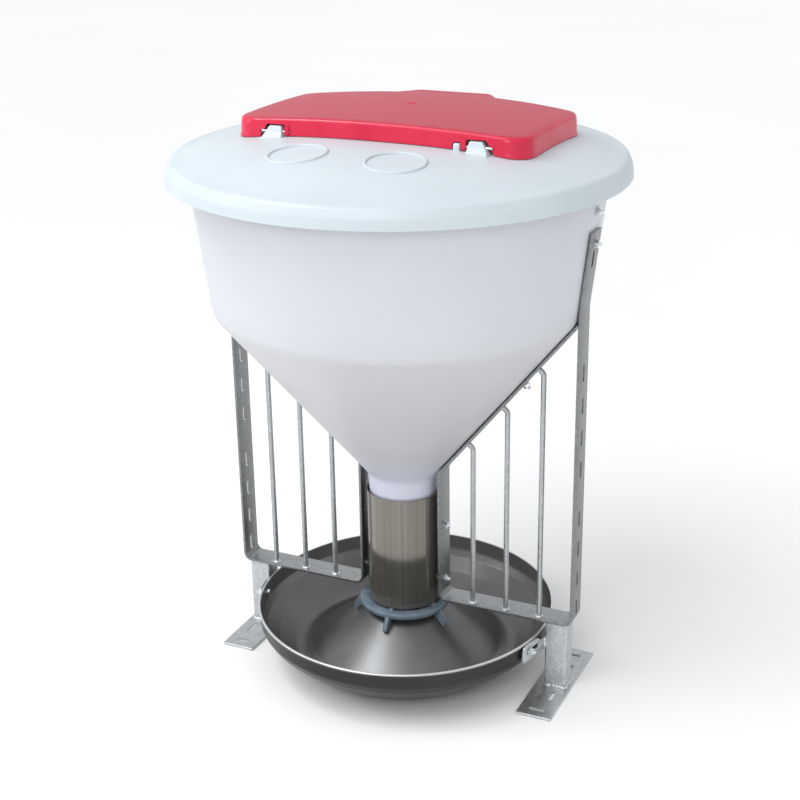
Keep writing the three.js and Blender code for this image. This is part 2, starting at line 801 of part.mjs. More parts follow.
function footPart() {
  const half = FOOT.length / 2;
  const plate = block(FOOT.x, [-half, half], [0, FOOT.thickness]);
  const shape = stadium(FOOT.slotLength, FOOT.slotWidth);
  const tool = raised(shape, [-1, FOOT.thickness + 1], 2);
  const slots = [-1, 1].flatMap((end) => [
    placed(tool, [FOOT.crossSlot.x, end * FOOT.crossSlot.y, 0]),
    placed(tool, [FOOT.longSlot.x, end * FOOT.longSlot.y, 0], [0, 0, Math.PI / 2]),
  ]);
  return cut(plate, ...slots);
}

function bracketPart() {
  const { thickness, boltZ, slot } = BRACKET;
  const plate = across(polygon(BRACKET.outline), [0, thickness]);
  const tool = across(stadium(slot.length, slot.width), [-2, thickness + 2]);
  return cut(plate, placed(tool, [slot.centre, 0, boltZ]));
}

function bracketStation(label) {
  const face = BRACKET.offset + BRACKET.thickness + GAP;
  const { azimuth } = BRACKET;
  const seat = [face * Math.cos(azimuth), face * Math.sin(azimuth), BRACKET.boltZ];
  const stack = BRACKET.thickness + PAN.wall + 4;
  return station("pan_" + label, seat, [Math.cos(azimuth), Math.sin(azimuth), 0], stack);
}

// The pan's bolt hole beside the right or the left bracket.
function bracketHole(side) {
  const azimuth = side > 0 ? 0 : Math.PI - 2 * BRACKET.azimuth;
  return placed(boltHole(bracketStation("hole")), [0, 0, 0], [0, 0, azimuth]);
}

function buildPanel(label, side) {
  const panel = new THREE.Group();
  panel.scale.x = side;
  const stations = panelStations(label);
  addPart("panel_bar_" + label, panelBar(stations.map(boltHole)), MATERIALS.galvanised, panel);
  ROD.xs.forEach((x, i) => {
    addPart("rod_" + label + "_" + (i + 1), rodPart(x), MATERIALS.galvanised, panel);
  });
  addPart("leg_" + label, legPart(), MATERIALS.galvanised, panel);
  addPart("foot_plate_" + label, footPart(), MATERIALS.galvanised, panel);
  const bracket = addPart("pan_bracket_" + label, bracketPart(), MATERIALS.galvanised, panel);
  bracket.rotation.z = BRACKET.azimuth - Math.PI / 2;
  bracket.position.set(
    BRACKET.offset * Math.cos(BRACKET.azimuth),
    BRACKET.offset * Math.sin(BRACKET.azimuth),
    0,
  );
  for (const place of [...stations, bracketStation(label)]) buildFastener(place, panel);
  feeder.add(panel);
  return stations;
}

// ---- Assembly ----------------------------------------------------------------------------------

const places = panelStations("hole");
const hopperHoles = places.slice(0, 3).flatMap((place) => {
  const hole = boltHole(place);
  return [hole, placed(hole, [0, 0, 0], [0, 0, Math.PI])];
});
addPart("hopper", cut(hopperPart(), ...hopperHoles), MATERIALS.hopper);
buildLid();
addPart("drop_tube", tubePart(), MATERIALS.mirror);
addPart("feed_pan", panPart(), MATERIALS.pan);
addPart("agitator", agitatorPart(), MATERIALS.agitator);
buildPivot();
buildPanel("right", 1);
buildPanel("left", -1);

export default feeder;
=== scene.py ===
"""Looks of the round hopper feeder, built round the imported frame. Metres; MM turns millimetres into them."""
import json
from math import asin, atan, copysign, cos, hypot, pi, radians, sin, tan

import bmesh
import bpy
from mathutils import Matrix, Vector, noise


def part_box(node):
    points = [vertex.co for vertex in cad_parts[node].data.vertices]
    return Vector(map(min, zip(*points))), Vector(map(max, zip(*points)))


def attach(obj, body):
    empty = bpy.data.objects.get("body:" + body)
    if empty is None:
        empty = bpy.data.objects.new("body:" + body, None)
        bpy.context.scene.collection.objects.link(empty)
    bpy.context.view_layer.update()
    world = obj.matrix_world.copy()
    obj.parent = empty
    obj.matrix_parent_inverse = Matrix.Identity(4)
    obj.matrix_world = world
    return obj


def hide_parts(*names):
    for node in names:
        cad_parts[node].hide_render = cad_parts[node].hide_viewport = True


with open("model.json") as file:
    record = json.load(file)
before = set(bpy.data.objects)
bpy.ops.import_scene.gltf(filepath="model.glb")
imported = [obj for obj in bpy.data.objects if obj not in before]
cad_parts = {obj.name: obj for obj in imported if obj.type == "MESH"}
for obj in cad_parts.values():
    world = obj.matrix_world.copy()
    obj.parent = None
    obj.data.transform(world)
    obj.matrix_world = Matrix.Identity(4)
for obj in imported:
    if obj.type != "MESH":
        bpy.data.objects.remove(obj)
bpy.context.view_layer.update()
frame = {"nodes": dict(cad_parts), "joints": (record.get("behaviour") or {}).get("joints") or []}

MM = 0.001
SIDES = (("left", -1), ("right", 1))
TAU = 2 * pi
noise.seed_set(1)  # the weld beads are uneven, but the same each time
X, Y, Z = Vector((1, 0, 0)), Vector((0, 1, 0)), Vector((0, 0, 1))


def mm(*points):
    """Points and bend radii given in millimetres, in metres."""
    return [tuple(value * MM for value in point) for point in points]


def show(obj):
    bpy.context.scene.collection.objects.link(obj)


# ---- Camera, floor and light ----

def make_camera():
    """A long lens that looks from the front right, a little above the lid."""
    azimuth, elevation, roll = radians(25.17), radians(21.58), radians(-0.93)
    target, distance = Vector((-0.0044, 0, 0.4348)), 2.3018
    flat = cos(elevation)
    back = Vector((sin(azimuth) * flat, -cos(azimuth) * flat, sin(elevation)))
    level = (-back).cross(Z).normalized()
    upright = level.cross(-back)
    right = level * cos(roll) + upright * sin(roll)
    up = upright * cos(roll) - level * sin(roll)
    data = bpy.data.cameras.new("camera")
    data.lens = 68.18
    data.sensor_width = 36
    camera = bpy.data.objects.new("camera", data)
    rotation = Matrix((right, up, back)).transposed()
    camera.matrix_world = Matrix.Translation(target + back * distance) @ rotation.to_4x4()
    show(camera)
    bpy.context.scene.camera = camera


def make_light(name, place, size, power, colour, aim=(0, 0, 0.45)):
    data = bpy.data.lights.new(name, "AREA")
    data.shape = "DISK"
    data.size = size
    data.energy = power
    data.color = colour
    light = bpy.data.objects.new(name, data)
    light.location = place
    light.rotation_euler = (Vector(place) - Vector(aim)).to_track_quat("Z", "Y").to_euler()
    show(light)


def make_studio():
    """A large soft sun from the front left, a pale sky, and weak panels that show in the steel."""
    world = bpy.data.worlds.new("studio")
    world.use_nodes = True
    background = world.node_tree.nodes["Background"]
    background.inputs["Color"].default_value = (0.97, 0.985, 1.0, 1)
    background.inputs["Strength"].default_value = 0.78
    scene = bpy.context.scene
    scene.world = world
    scene.view_settings.view_transform = "Standard"
    sun = bpy.data.lights.new("sun", "SUN")
    sun.energy = 1.0
    sun.angle = radians(40)
    sun_object = bpy.data.objects.new("sun", sun)
    sun_object.rotation_euler = Vector((-0.35, -0.55, 1.0)).to_track_quat("Z", "Y").to_euler()
    show(sun_object)
    make_light("front", (0.5, -2.6, 1.9), 0.9, 14, (1.0, 0.99, 0.97), (0, 0, 0.2))
    make_light("side", (-2.6, -1.2, 1.6), 0.8, 9, (0.94, 0.97, 1.0))
    make_light("cone", (-0.72, -0.55, 1.75), 0.45, 4.5, (0.93, 0.98, 1.0), (0, -0.1, 0.06))
    floor = piece_from([(-40, -40, 0), (40, -40, 0), (40, 40, 0), (-40, 40, 0)], [(0, 1, 2, 3)], "floor")
    floor.data.materials.append(floor_material())


# ---- Mesh building ----

def piece_from(verts, faces, name, sharp=35):
    """A smooth-shaded object with its faces outward and its doubled points merged."""
    mesh = bpy.data.meshes.new(name)
    mesh.from_pydata([tuple(v) for v in verts], [], faces)
    work = bmesh.new()
    work.from_mesh(mesh)
    bmesh.ops.remove_doubles(work, verts=work.verts, dist=1e-7)
    bmesh.ops.dissolve_degenerate(work, edges=work.edges, dist=1e-8)
    bmesh.ops.recalc_face_normals(work, faces=work.faces)
    work.to_mesh(mesh)
    work.free()
    obj = bpy.data.objects.new(name, mesh)
    show(obj)
    shade(obj, sharp)
    return obj


def shade(obj, sharp=35):
    obj.data.shade_smooth()
    obj.data.set_sharp_from_angle(angle=radians(sharp))


def loft(rings, wrap=False, caps=True):
    """Points and faces of a skin over rings of points that all have the same count."""
    count = len(rings[0])
    verts = [p for ring in rings for p in ring]
    faces = []
    spans = len(rings) if wrap else len(rings) - 1
    for i in range(spans):
        near, far = i * count, ((i + 1) % len(rings)) * count
        for j in range(count):
            k = (j + 1) % count
            faces.append((near + j, near + k, far + k, far + j))
    if caps and not wrap:
        faces.append(tuple(range(count)))
        faces.append(tuple(range(len(verts) - count, len(verts))))
    return verts, faces


def merged(parts):
    """Several (points, faces) pairs as one pair."""
    verts, faces = [], []
    for more_verts, more_faces in parts:
        start = len(verts)
        verts += [Vector(v) for v in more_verts]
        faces += [tuple(i + start for i in face) for face in more_faces]
    return verts, faces


def moved(part, matrix):
    verts, faces = part
    return [matrix @ Vector(v) for v in verts], faces


def revolved(profile, segments, centre=(0, 0)):
    """A closed profile of (radius, height) points turned about an upright axis."""
    rings = []
    for i in range(segments):
        c, s = cos(TAU * i / segments), sin(TAU * i / segments)
        rings.append([Vector((centre[0] + r * c, centre[1] + r * s, z)) for r, z in profile])
    return loft(rings, wrap=True)


def rounded(corners, steps=6):
    """A 2-D path through (x, y, bend radius) corners, each inner corner rounded to its radius."""
    points = [Vector(c[:2]) for c in corners]
    path = [points[0]]
    for i in range(1, len(points) - 1):
        radius = corners[i][2] if len(corners[i]) > 2 else 0
        back = (points[i - 1] - points[i]).normalized()
        ahead = (points[i + 1] - points[i]).normalized()
        half = back.angle(ahead) / 2
        if radius <= 0 or half > pi / 2 - 1e-3:
            path.append(points[i])
            continue
        reach = radius / tan(half)
        centre = points[i] + (back + ahead).normalized() * radius / sin(half)
        start = points[i] + back * reach - centre
        end = points[i] + ahead * reach - centre
        sweep = copysign(pi - 2 * half, start.x * end.y - start.y * end.x)
        for step in range(steps + 1):
            turn = Matrix.Rotation(sweep * step / steps, 2)
            path.append(centre + turn @ start)
    path.append(points[-1])
    return path


def sideways(path, distance):
    """A 2-D path moved to its left by a distance, mitred at its corners."""
    result = []
    for i, point in enumerate(path):
        into = (path[i] - path[i - 1]).normalized() if i else (path[1] - path[0]).normalized()
        out = (path[i + 1] - path[i]).normalized() if i < len(path) - 1 else into
        normal = Vector((-into.y - out.y, into.x + out.x))
        result.append(point + normal * (distance / (1 + into.dot(out))))
    return result


def rounded_rectangle(width, height, radius, steps):
    """Points round a rectangle with rounded corners, centred on the origin."""
    points = []
    for quarter in range(4):
        sx, sy = ((1, 1), (-1, 1), (-1, -1), (1, -1))[quarter]
        for step in range(steps + 1):
            angle = pi / 2 * (quarter + step / steps)
            points.append((
                sx * (width / 2 - radius) + radius * cos(angle),
                sy * (height / 2 - radius) + radius * sin(angle),
            ))
    return points


def tube_along(points, radius, sides):
    """A round bar along 3-D points; radius is one number or one for each point."""
    radii = radius if isinstance(radius, (list, tuple)) else [radius] * len(points)
    points = [Vector(p) for p in points]
    rings = []
    across = None
    for i, point in enumerate(points):
        into = points[i] - points[i - 1] if i else points[1] - points[0]
        out = points[i + 1] - points[i] if i < len(points) - 1 else into
        tangent = (into.normalized() + out.normalized()).normalized()
        if across is None:
            across = tangent.orthogonal().normalized()
        across = (across - tangent * across.dot(tangent)).normalized()
        other = tangent.cross(across)
        rings.append([
            point + (across * cos(TAU * k / sides) + other * sin(TAU * k / sides)) * radii[i]
            for k in range(sides)
        ])
    return loft(rings)


def settle(obj):
    """Applies the modifiers of a piece."""
    graph = bpy.context.evaluated_depsgraph_get()
    graph.update()
    mesh = bpy.data.meshes.new_from_object(obj.evaluated_get(graph))
    obj.modifiers.clear()
    obj.data = mesh


def cut(obj, cutters):
    """Cuts (points, faces) pairs that don't touch each other out of a piece."""
    tool = piece_from(*merged(cutters), "cutter")
    modifier = obj.modifiers.new("cut", "BOOLEAN")
    modifier.operation = "DIFFERENCE"
    modifier.solver = "EXACT"
    modifier.object = tool
    settle(obj)
    bpy.data.objects.remove(tool)
    shade(obj)


def soften(obj, width):
    """Rounds a piece's sharp edges."""
    bevel = obj.modifiers.new("edges", "BEVEL")
    bevel.width = width
    bevel.segments = 2
    bevel.limit_method = "ANGLE"
    bevel.angle_limit = radians(50)
    settle(obj)
    shade(obj)


def slot_prism(centre, along, across, through, length, width, depth):
    """A slot-shaped cutter: its length runs along one direction and it passes through another."""
    half = (length - width) / 2
    outline = []
    for end in (1, -1):
        for step in range(9):
            angle = -pi / 2 + pi * step / 8
            u = end * (half + width / 2 * cos(angle))
            v = end * width / 2 * sin(angle)
            outline.append(Vector(centre) + along * u + across * v)
    return loft([[p + through * depth * sign for p in outline] for sign in (-0.5, 0.5)])


def finish_piece(obj, finish, body, *nodes):
    """Gives a piece its material and the body it rides on, and hides the CAD nodes it stands for."""
    material, slot = finish
    obj.data.materials.clear()
    obj.data.materials.append(material)
    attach(obj, body)
    if nodes:
        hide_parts(*nodes)


def add_piece(name, part, finish, body, *nodes, sharp=35):
    finish_piece(piece_from(*part, name, sharp), finish, body, *nodes)


def span(node, direction):
    """How far a CAD node reaches along a direction: (least, most)."""
    reach = [v.co.dot(direction) for v in frame["nodes"][node].data.vertices]
    return min(reach), max(reach)


def middle(node):
    low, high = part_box(node)
    return (low + high) / 2


# ---- Materials ----

class Shader:
    """A material whose nodes are added one by one round its Principled shader."""

    def __init__(self, name, colour, roughness, metallic=0.0, **sockets):
        self.material = bpy.data.materials.new(name)
        self.material.use_nodes = True
        self.tree = self.material.node_tree
        self.principled = self.tree.nodes["Principled BSDF"]
        self.set("Base Color", (*colour, 1))
        self.set("Roughness", roughness)
        self.set("Metallic", metallic)
        for socket, value in sockets.items():
            self.set(socket.replace("_", " "), value)
        coordinates = self.tree.nodes.new("ShaderNodeTexCoord")
        self.place = coordinates.outputs["Object"]
        self.direction = coordinates.outputs["Normal"]

    def set(self, socket, value):
        self.principled.inputs[socket].default_value = value

    def link(self, output, socket):
        self.tree.links.new(output, socket)

    def node(self, kind, source, **values):
        """Adds a node, sets its named inputs and links a source to its first one."""
        node = self.tree.nodes.new("ShaderNode" + kind)
        for socket, value in values.items():
            node.inputs[socket].default_value = value
        self.link(source, node.inputs[0])
        return node

    def stretched(self, scale):
        """The object's coordinates, scaled differently along each axis."""
        return self.node("Mapping", self.place, Scale=scale).outputs[0]

    def around(self, scale):
        """Coordinates of (radius, angle, height) about the Z axis, scaled."""
        split = self.node("SeparateXYZ", self.place).outputs
        angle = self.node("Math", split["Y"])
        angle.operation = "ARCTAN2"
        self.link(split["X"], angle.inputs[1])
        flat = self.node("CombineXYZ", split["X"])
        self.link(split["Y"], flat.inputs["Y"])
        length = self.node("VectorMath", flat.outputs[0])
        length.operation = "LENGTH"
        joined = self.node("CombineXYZ", length.outputs["Value"])
        self.link(angle.outputs[0], joined.inputs["Y"])
        self.link(split["Z"], joined.inputs["Z"])
        return self.node("Mapping", joined.outputs[0], Scale=scale).outputs[0]

    def noise(self, scale, detail=3.0, roughness=0.5, place=None):
        values = {"Scale": scale, "Detail": detail, "Roughness": roughness}
        return self.node("TexNoise", place or self.place, **values).outputs["Fac"]

    def cells(self, scale):
        """A grey level for each cell."""
        colours = self.node("TexVoronoi", self.place, Scale=scale).outputs["Color"]
        return self.node("RGBToBW", colours).outputs[0]

    def ramp(self, source, *stops):
        """Colours or grey levels against a source, from (position, colour or level) stops."""
        node = self.node("ValToRGB", source)
        elements = node.color_ramp.elements
        while len(elements) < len(stops):
            elements.new(0.5)
        for element, (position, value) in zip(elements, stops):
            element.position = position
            element.color = (*value, 1) if isinstance(value, tuple) else (value, value, value, 1)
        return node.outputs["Color"]

    def mix(self, factor, first, second, blend="MIX"):
        node = self.tree.nodes.new("ShaderNodeMix")
        node.data_type = "RGBA"
        node.blend_type = blend
        for socket, value in ((node.inputs[0], factor), (node.inputs[6], first), (node.inputs[7], second)):
            if hasattr(value, "is_linked"):
                self.link(value, socket)
            else:
                socket.default_value = value
        return node.outputs[2]

    def upward(self, *stops):
        """Values against how far the surface faces up: 0 is straight down and 1 straight up."""
        return self.shifted(self.direction, 0.5, 0.5, *stops)

    def height(self, low, high, *stops):
        """Values against the height between two levels in metres."""
        scale = 1 / (high - low)
        return self.shifted(self.place, scale, -low * scale, *stops)

    def shifted(self, source, scale, offset, *stops):
        node = self.node("Math", self.node("SeparateXYZ", source).outputs["Z"])
        node.operation = "MULTIPLY_ADD"
        node.inputs[1].default_value = scale
        node.inputs[2].default_value = offset
        return self.ramp(node.outputs[0], *stops)

    def surface(self, colour, roughness=None, *bumps):
        """The finished material; each bump is (height, strength, distance in metres)."""
        inputs = self.principled.inputs
        self.link(colour, inputs["Base Color"])
        if roughness:
            self.link(roughness, inputs["Roughness"])
        normal = None
        for height, strength, distance in bumps:
            node = self.tree.nodes.new("ShaderNodeBump")
            node.inputs["Strength"].default_value = strength
            node.inputs["Distance"].default_value = distance
            self.link(height, node.inputs["Height"])
            if normal:
                self.link(normal, node.inputs["Normal"])
            normal = node.outputs["Normal"]
            self.link(normal, inputs["Normal"])
        return self.material


def floor_material():
    shader = Shader("floor_paint", (0.9, 0.9, 0.9), 0.9)
    return shader.surface(shader.ramp(shader.noise(0.6), (0.3, 0.925), (0.7, 0.95)))


def hopper_material():
    """Translucent white polyethylene: soft cloudy tone, painted shade that greys the downward-facing cone, a
    bluish neck, an orange-peel skin.
    """
    shader = Shader(
        "hopper_plastic", (0.7, 0.7, 0.75), 0.42,
        Subsurface_Weight=0.22, Subsurface_Radius=(1.0, 0.92, 0.88), Subsurface_Scale=0.012, IOR=1.5,
    )
    # Tone by height; the greyer band over the downward-facing cone is painted shade.
    tone_by_height_with_painted_shade = shader.height(
        0.25, 0.81, (0.0, (0.62, 0.645, 0.75)), (0.15, (0.6, 0.615, 0.7)), (0.24, (0.555, 0.557, 0.565)),
        (0.58, (0.57, 0.572, 0.585)), (0.68, (0.61, 0.625, 0.665)), (1.0, (0.6, 0.615, 0.645)),
    )
    cloud = shader.ramp(shader.noise(4.0, 4.0), (0.3, (0.93, 0.93, 0.95)), (0.7, 1.05))
    return shader.surface(
        shader.mix(0.5, tone_by_height_with_painted_shade, cloud, "MULTIPLY"),
        shader.ramp(shader.noise(30.0, 5.0), (0.3, 0.34), (0.7, 0.46)),
        (shader.noise(420.0, 2.0), 0.09, 0.0004), (shader.noise(11.0, 2.0), 0.05, 0.003),
    )


def lid_material():
    """Opaque cool-white polyethylene with a satin skin and faint scuffs."""
    shader = Shader(
        "lid_plastic", (0.78, 0.86, 0.92), 0.4,
        Subsurface_Weight=0.12, Subsurface_Radius=(0.9, 0.95, 1.0), Subsurface_Scale=0.006, IOR=1.5,
    )
    scuffs = shader.noise(90.0, 6.0, 0.65, shader.stretched((1.0, 3.0, 1.0)))
    return shader.surface(
        shader.ramp(shader.noise(7.0, 4.0), (0.3, (0.53, 0.59, 0.635)), (0.7, (0.575, 0.635, 0.68))),
        shader.ramp(scuffs, (0.35, 0.34), (0.7, 0.52)),
        (shader.noise(380.0, 2.0), 0.1, 0.0004), (scuffs, 0.08, 0.0003),
    )


def flap_material():
    """Pinkish red plastic, glossier on its sides, with a fine dusty grain on top."""
    shader = Shader(
        "flap_plastic", (0.66, 0.045, 0.12), 0.34, IOR=1.42, Coat_Weight=0.05, Coat_Roughness=0.25,
    )
    grain = shader.noise(160.0, 8.0, 0.7)
    top = shader.upward((0.875, 0.0), (0.985, 1.0))
    dust = shader.ramp(grain, (0.25, (0.4, 0.012, 0.036)), (0.75, (0.52, 0.036, 0.075)))
    clean = shader.ramp(shader.noise(24.0), (0.3, (0.59, 0.012, 0.05)), (0.7, (0.66, 0.025, 0.072)))
    return shader.surface(
        shader.mix(top, clean, dust),
        shader.mix(top, (0.26, 0.26, 0.26, 1), shader.ramp(grain, (0.3, 0.34), (0.7, 0.5))),
        (grain, 0.16, 0.0003), (shader.noise(14.0, 2.0), 0.12, 0.003),
    )


def agitator_material():
    """Grey-blue moulded plastic with a cloudy, slightly rough skin."""
    shader = Shader("agitator_plastic", (0.2, 0.27, 0.33), 0.5, IOR=1.5)
    cloud = shader.noise(60.0, 6.0, 0.6)
    return shader.surface(
        shader.ramp(cloud, (0.3, (0.11, 0.15, 0.19)), (0.7, (0.19, 0.25, 0.3))),
        shader.ramp(cloud, (0.3, 0.4), (0.7, 0.62)), (shader.noise(500.0), 0.15, 0.0003),
    )


def tube_material():
    """Polished stainless: broad soft bands and fine upright draw lines."""
    shader = Shader("polished_stainless", (0.24, 0.225, 0.2), 0.14, 0.72, Anisotropic=0.4)
    bands = shader.noise(1.6, 2.0, 0.5, shader.around((0.0, 1.0, 0.04)))
    lines = shader.noise(12.0, 5.0, 0.6, shader.around((0.0, 1.0, 0.03)))
    broad = shader.ramp(bands, (0.35, (0.14, 0.13, 0.112)), (0.65, (0.25, 0.235, 0.205)))
    fine = shader.ramp(lines, (0.35, (0.16, 0.15, 0.135)), (0.65, (0.34, 0.32, 0.29)))
    return shader.surface(
        shader.mix(0.3, broad, fine), shader.ramp(lines, (0.3, 0.1), (0.7, 0.2)), (lines, 0.05, 0.0004),
    )


def pan_material():
    """Spun satin stainless: fine rings round the axis, smeared by feed; painted shade darkens the underside,
    the steep inner wall is painted lighter than the cone floor, and a painted highlight brightens the rim.
    """
    shader = Shader("satin_stainless", (0.2, 0.195, 0.19), 0.34, 0.82, Anisotropic=0.5)
    rings = shader.noise(40.0, 6.0, 0.65, shader.around((24.0, 0.35, 20.0)))
    smears = shader.noise(7.0, 5.0, 0.6)
    # under: painted shade, near black, on every face that looks downward.
    under = shader.ramp(smears, (0.3, (0.022, 0.02, 0.019)), (0.7, (0.042, 0.038, 0.036)))
    # Painted light: the steep inner wall is painted lighter than the cone floor, one steel given lit and
    # shaded tones by the way it faces.
    cone = shader.ramp(smears, (0.3, (0.13, 0.13, 0.132)), (0.7, (0.2, 0.2, 0.202)))
    wall = shader.ramp(smears, (0.3, (0.3, 0.285, 0.285)), (0.7, (0.38, 0.365, 0.365)))
    inner = shader.mix(shader.upward((0.56, 0.0), (0.82, 1.0)), wall, cone)
    tone = shader.mix(shader.upward((0.49, 0.0), (0.52, 1.0)), under, inner)
    # worn lays the spun rings over the tone, which carries the painted shade underneath and the painted light
    # on the inner wall.
    worn = shader.mix(0.1, tone, shader.ramp(rings, (0.3, 0.06), (0.7, 0.2)))
    # Painted highlight: a pale band along the top of the rim.
    edge = shader.height(0.09, 0.098, (0.72, 0.0), (0.8, 1.0))
    spun = shader.ramp(rings, (0.3, 0.24), (0.7, 0.38))
    smeared = shader.ramp(smears, (0.3, 0.25), (0.7, 0.42))
    return shader.surface(
        shader.mix(edge, worn, (0.8, 0.78, 0.8, 1)), shader.mix(0.5, spun, smeared), (rings, 0.08, 0.0003),
    )


def galvanised_material(name, tone, bloom_share=0.5, upper=1.0):
    """Galvanised steel: spangle cells of slightly different grey, bright flecks and a thin white bloom; upper
    is painted light, a factor on the faces that look straight up.
    """
    shader = Shader(name, (0.4, 0.42, 0.44), 0.4, 0.88)
    spangle = shader.cells(240.0)
    greys = ((0.33, 0.34, 0.345), (0.42, 0.432, 0.438), (0.5, 0.52, 0.53))
    dark, pale, white = (tuple(tone * c for c in grey) for grey in greys)
    bloom = shader.ramp(shader.noise(18.0, 5.0, 0.6), (0.42, 0.0), (0.8, bloom_share))
    bloomed = shader.mix(bloom, shader.ramp(spangle, (0.2, dark), (0.8, pale)), (*white, 1))
    # Painted light: faces that look straight up are made lighter by the factor upper.
    level = shader.mix(shader.upward((0.9, 0.0), (0.97, 1.0)), (1, 1, 1, 1), (upper, upper, upper, 1))
    with_painted_top_light = shader.mix(1.0, bloomed, level, "MULTIPLY")
    flecks = shader.ramp(shader.noise(520.0, 2.0, 0.6), (0.64, 0.0), (0.7, 0.7))
    smooth = shader.ramp(spangle, (0.2, 0.3), (0.8, 0.4))
    return shader.surface(
        shader.mix(flecks, with_painted_top_light, (0.85, 0.88, 0.9, 1)), shader.mix(bloom, smooth, (0.46, 0.46, 0.46, 1)),
        (shader.noise(200.0, 3.0, 0.55), 0.08, 0.0004), (shader.noise(40.0, 2.0), 0.1, 0.001),
    )


def zinc_material():
    """Bright zinc plating, worn unevenly."""
    shader = Shader("zinc_fasteners", (0.62, 0.66, 0.68), 0.24, 1.0)
    wear = shader.noise(240.0, 5.0, 0.6)
    return shader.surface(
        shader.ramp(wear, (0.3, (0.68, 0.72, 0.74)), (0.7, (0.9, 0.93, 0.95))),
        shader.ramp(wear, (0.3, 0.16), (0.7, 0.34)), (wear, 0.12, 0.0002),
    )


# Each finish is a material and the slot that it fills.
HOPPER_PLASTIC = (hopper_material(), "hopper_plastic")
LID_PLASTIC = (lid_material(), "lid_plastic")
FLAP_PLASTIC = (flap_material(), "flap_plastic")
AGITATOR_PLASTIC = (agitator_material(), "agitator_plastic")
TUBE_STEEL = (tube_material(), "polished_stainless")
PAN_STEEL = (pan_material(), "satin_stainless")
# The last number is painted light: the top of the bar's bottom run is painted 1.6 times as light.
BAR_STEEL = (galvanised_material("bar_steel", 0.6, 0.3, 1.6), "galvanised_steel")
ROD_STEEL = (galvanised_material("rod_steel", 1.15, 0.3), "galvanised_steel")
FOOT_STEEL = (galvanised_material("foot_steel", 1.35), "galvanised_steel")
WELD = (galvanised_material("weld_metal", 2.0), "galvanised_steel")
ZINC = (zinc_material(), "zinc_fasteners")


# ---- Hopper ----

hopper_low, hopper_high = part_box("hopper")
WALL = 4 * MM
OUTLET_RADIUS = 51 * MM
NECK_RADIUS = 55.8 * MM
NECK_Z = hopper_low.z + 64.5 * MM
SHOULDER_RADIUS = 277.9 * MM
SHOULDER_Z = hopper_high.z - 212.6 * MM
RIM_UNDER_Z = hopper_high.z - 5 * MM
WALL_TAPER = (300.4 - 277.9) / (789 - 597)  # radius gained over height gained
CONE_RISE = (SHOULDER_Z - NECK_Z) / (SHOULDER_RADIUS - NECK_RADIUS)
CONE_ANGLE = atan(CONE_RISE)


def hopper_radius_at(z):
    return SHOULDER_RADIUS + WALL_TAPER * (z - SHOULDER_Z)


def make_hopper():
    rim_radius = hopper_radius_at(RIM_UNDER_Z)
    outside = rounded([
        (OUTLET_RADIUS, hopper_low.z),
        (NECK_RADIUS, NECK_Z, 22 * MM),
        (SHOULDER_RADIUS, SHOULDER_Z, 30 * MM),
        (rim_radius, RIM_UNDER_Z, 3 * MM),
        (hopper_high.x, RIM_UNDER_Z, 2 * MM),
        (hopper_high.x, hopper_high.z, 2 * MM),
        (rim_radius - WALL, hopper_high.z),
    ], 10)
    inside = rounded([
        (rim_radius - WALL, hopper_high.z),
        (rim_radius - WALL, RIM_UNDER_Z, 3 * MM),
        (SHOULDER_RADIUS - WALL, SHOULDER_Z + 1 * MM, 26 * MM),
        (NECK_RADIUS - WALL, NECK_Z + 1.5 * MM, 18 * MM),
        (OUTLET_RADIUS - WALL, hopper_low.z),
    ], 10)
    add_piece("hopper_shell", revolved(outside[:-1] + inside, 192), HOPPER_PLASTIC, "stand", "hopper")


# ---- Lid, flap and hinges ----

lid_low, lid_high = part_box("hopper_lid")
flap_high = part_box("filler_flap")[1]
hinge = next(j for j in frame["joints"] if j["name"] == "flap_hinge")
HINGE_Y, HINGE_Z = hinge["pos_m"][1], hinge["pos_m"][2]
LID_EDGE = 312 * MM
DOME_Z = HINGE_Z - 2.3 * MM
DOME_FALL = 29.7 * MM
FLAP_HALF = flap_high.x
FLAP_FRONT = HINGE_Y - 2 * MM
FLAP_SIDE = FLAP_FRONT + 221 * MM
FLAP_REAR = flap_high.y - 18 * MM
FLAP_TOP = HINGE_Z + 24.4 * MM
CROWN_FALL = 8.8 * MM
CROWN_REACH = 225 * MM
FRONT_CORNER = 35 * MM
REAR_CORNER = 26 * MM
FLAP_WALL = 2.6 * MM
OPENING_INSET = 24 * MM
COLLAR_Z = HINGE_Z + 2 * MM
KNUCKLE = (131 * MM, 137.4 * MM)
INNER_LUG = (120 * MM, 129 * MM)
NOTCH_INNER = {"left": 129.5 * MM, "right": 118 * MM}
NOTCH_OUTER = 178 * MM
PIN_BORE = 2.3 * MM
KNOCKOUT_X = 73 * MM
KNOCKOUT_Y = -168.5 * MM
GATE = (-8 * MM, 62 * MM)
CAD_FACETS = 48


def dome_z(radius):
    return DOME_Z - DOME_FALL * (radius / LID_EDGE) ** 3


def crown_z(x, y):
    return FLAP_TOP - CROWN_FALL * (x ** 2 + y ** 2) / CROWN_REACH ** 2


def lid_skin():
    """The lid's dome, rim and seat; the rim goes round through the corners of the CAD's facets."""
    outer = lid_high.x / cos(pi / CAD_FACETS)
    outside = rounded([
        (LID_EDGE - 6 * MM, dome_z(LID_EDGE - 6 * MM)),
        (outer - 8 * MM, dome_z(LID_EDGE) - 0.6 * MM, 9 * MM),
        (outer - 2.2 * MM, lid_low.z + 15 * MM, 12 * MM),
        (outer, lid_low.z, 0.8 * MM),
        (outer - 3.4 * MM, lid_low.z, 0.8 * MM),
        (outer - 6.5 * MM, hopper_high.z + 0.4 * MM, 2 * MM),
        (LID_EDGE - 16 * MM, hopper_high.z + 0.4 * MM),
    ], 6)
    dome = [Vector((LID_EDGE * t / 30, dome_z(LID_EDGE * t / 30))) for t in range(30)]
    under = [Vector((p.x, p.y - WALL)) for p in reversed(dome) if p.x < LID_EDGE - 20 * MM]
    return revolved(dome + outside + under, 192)


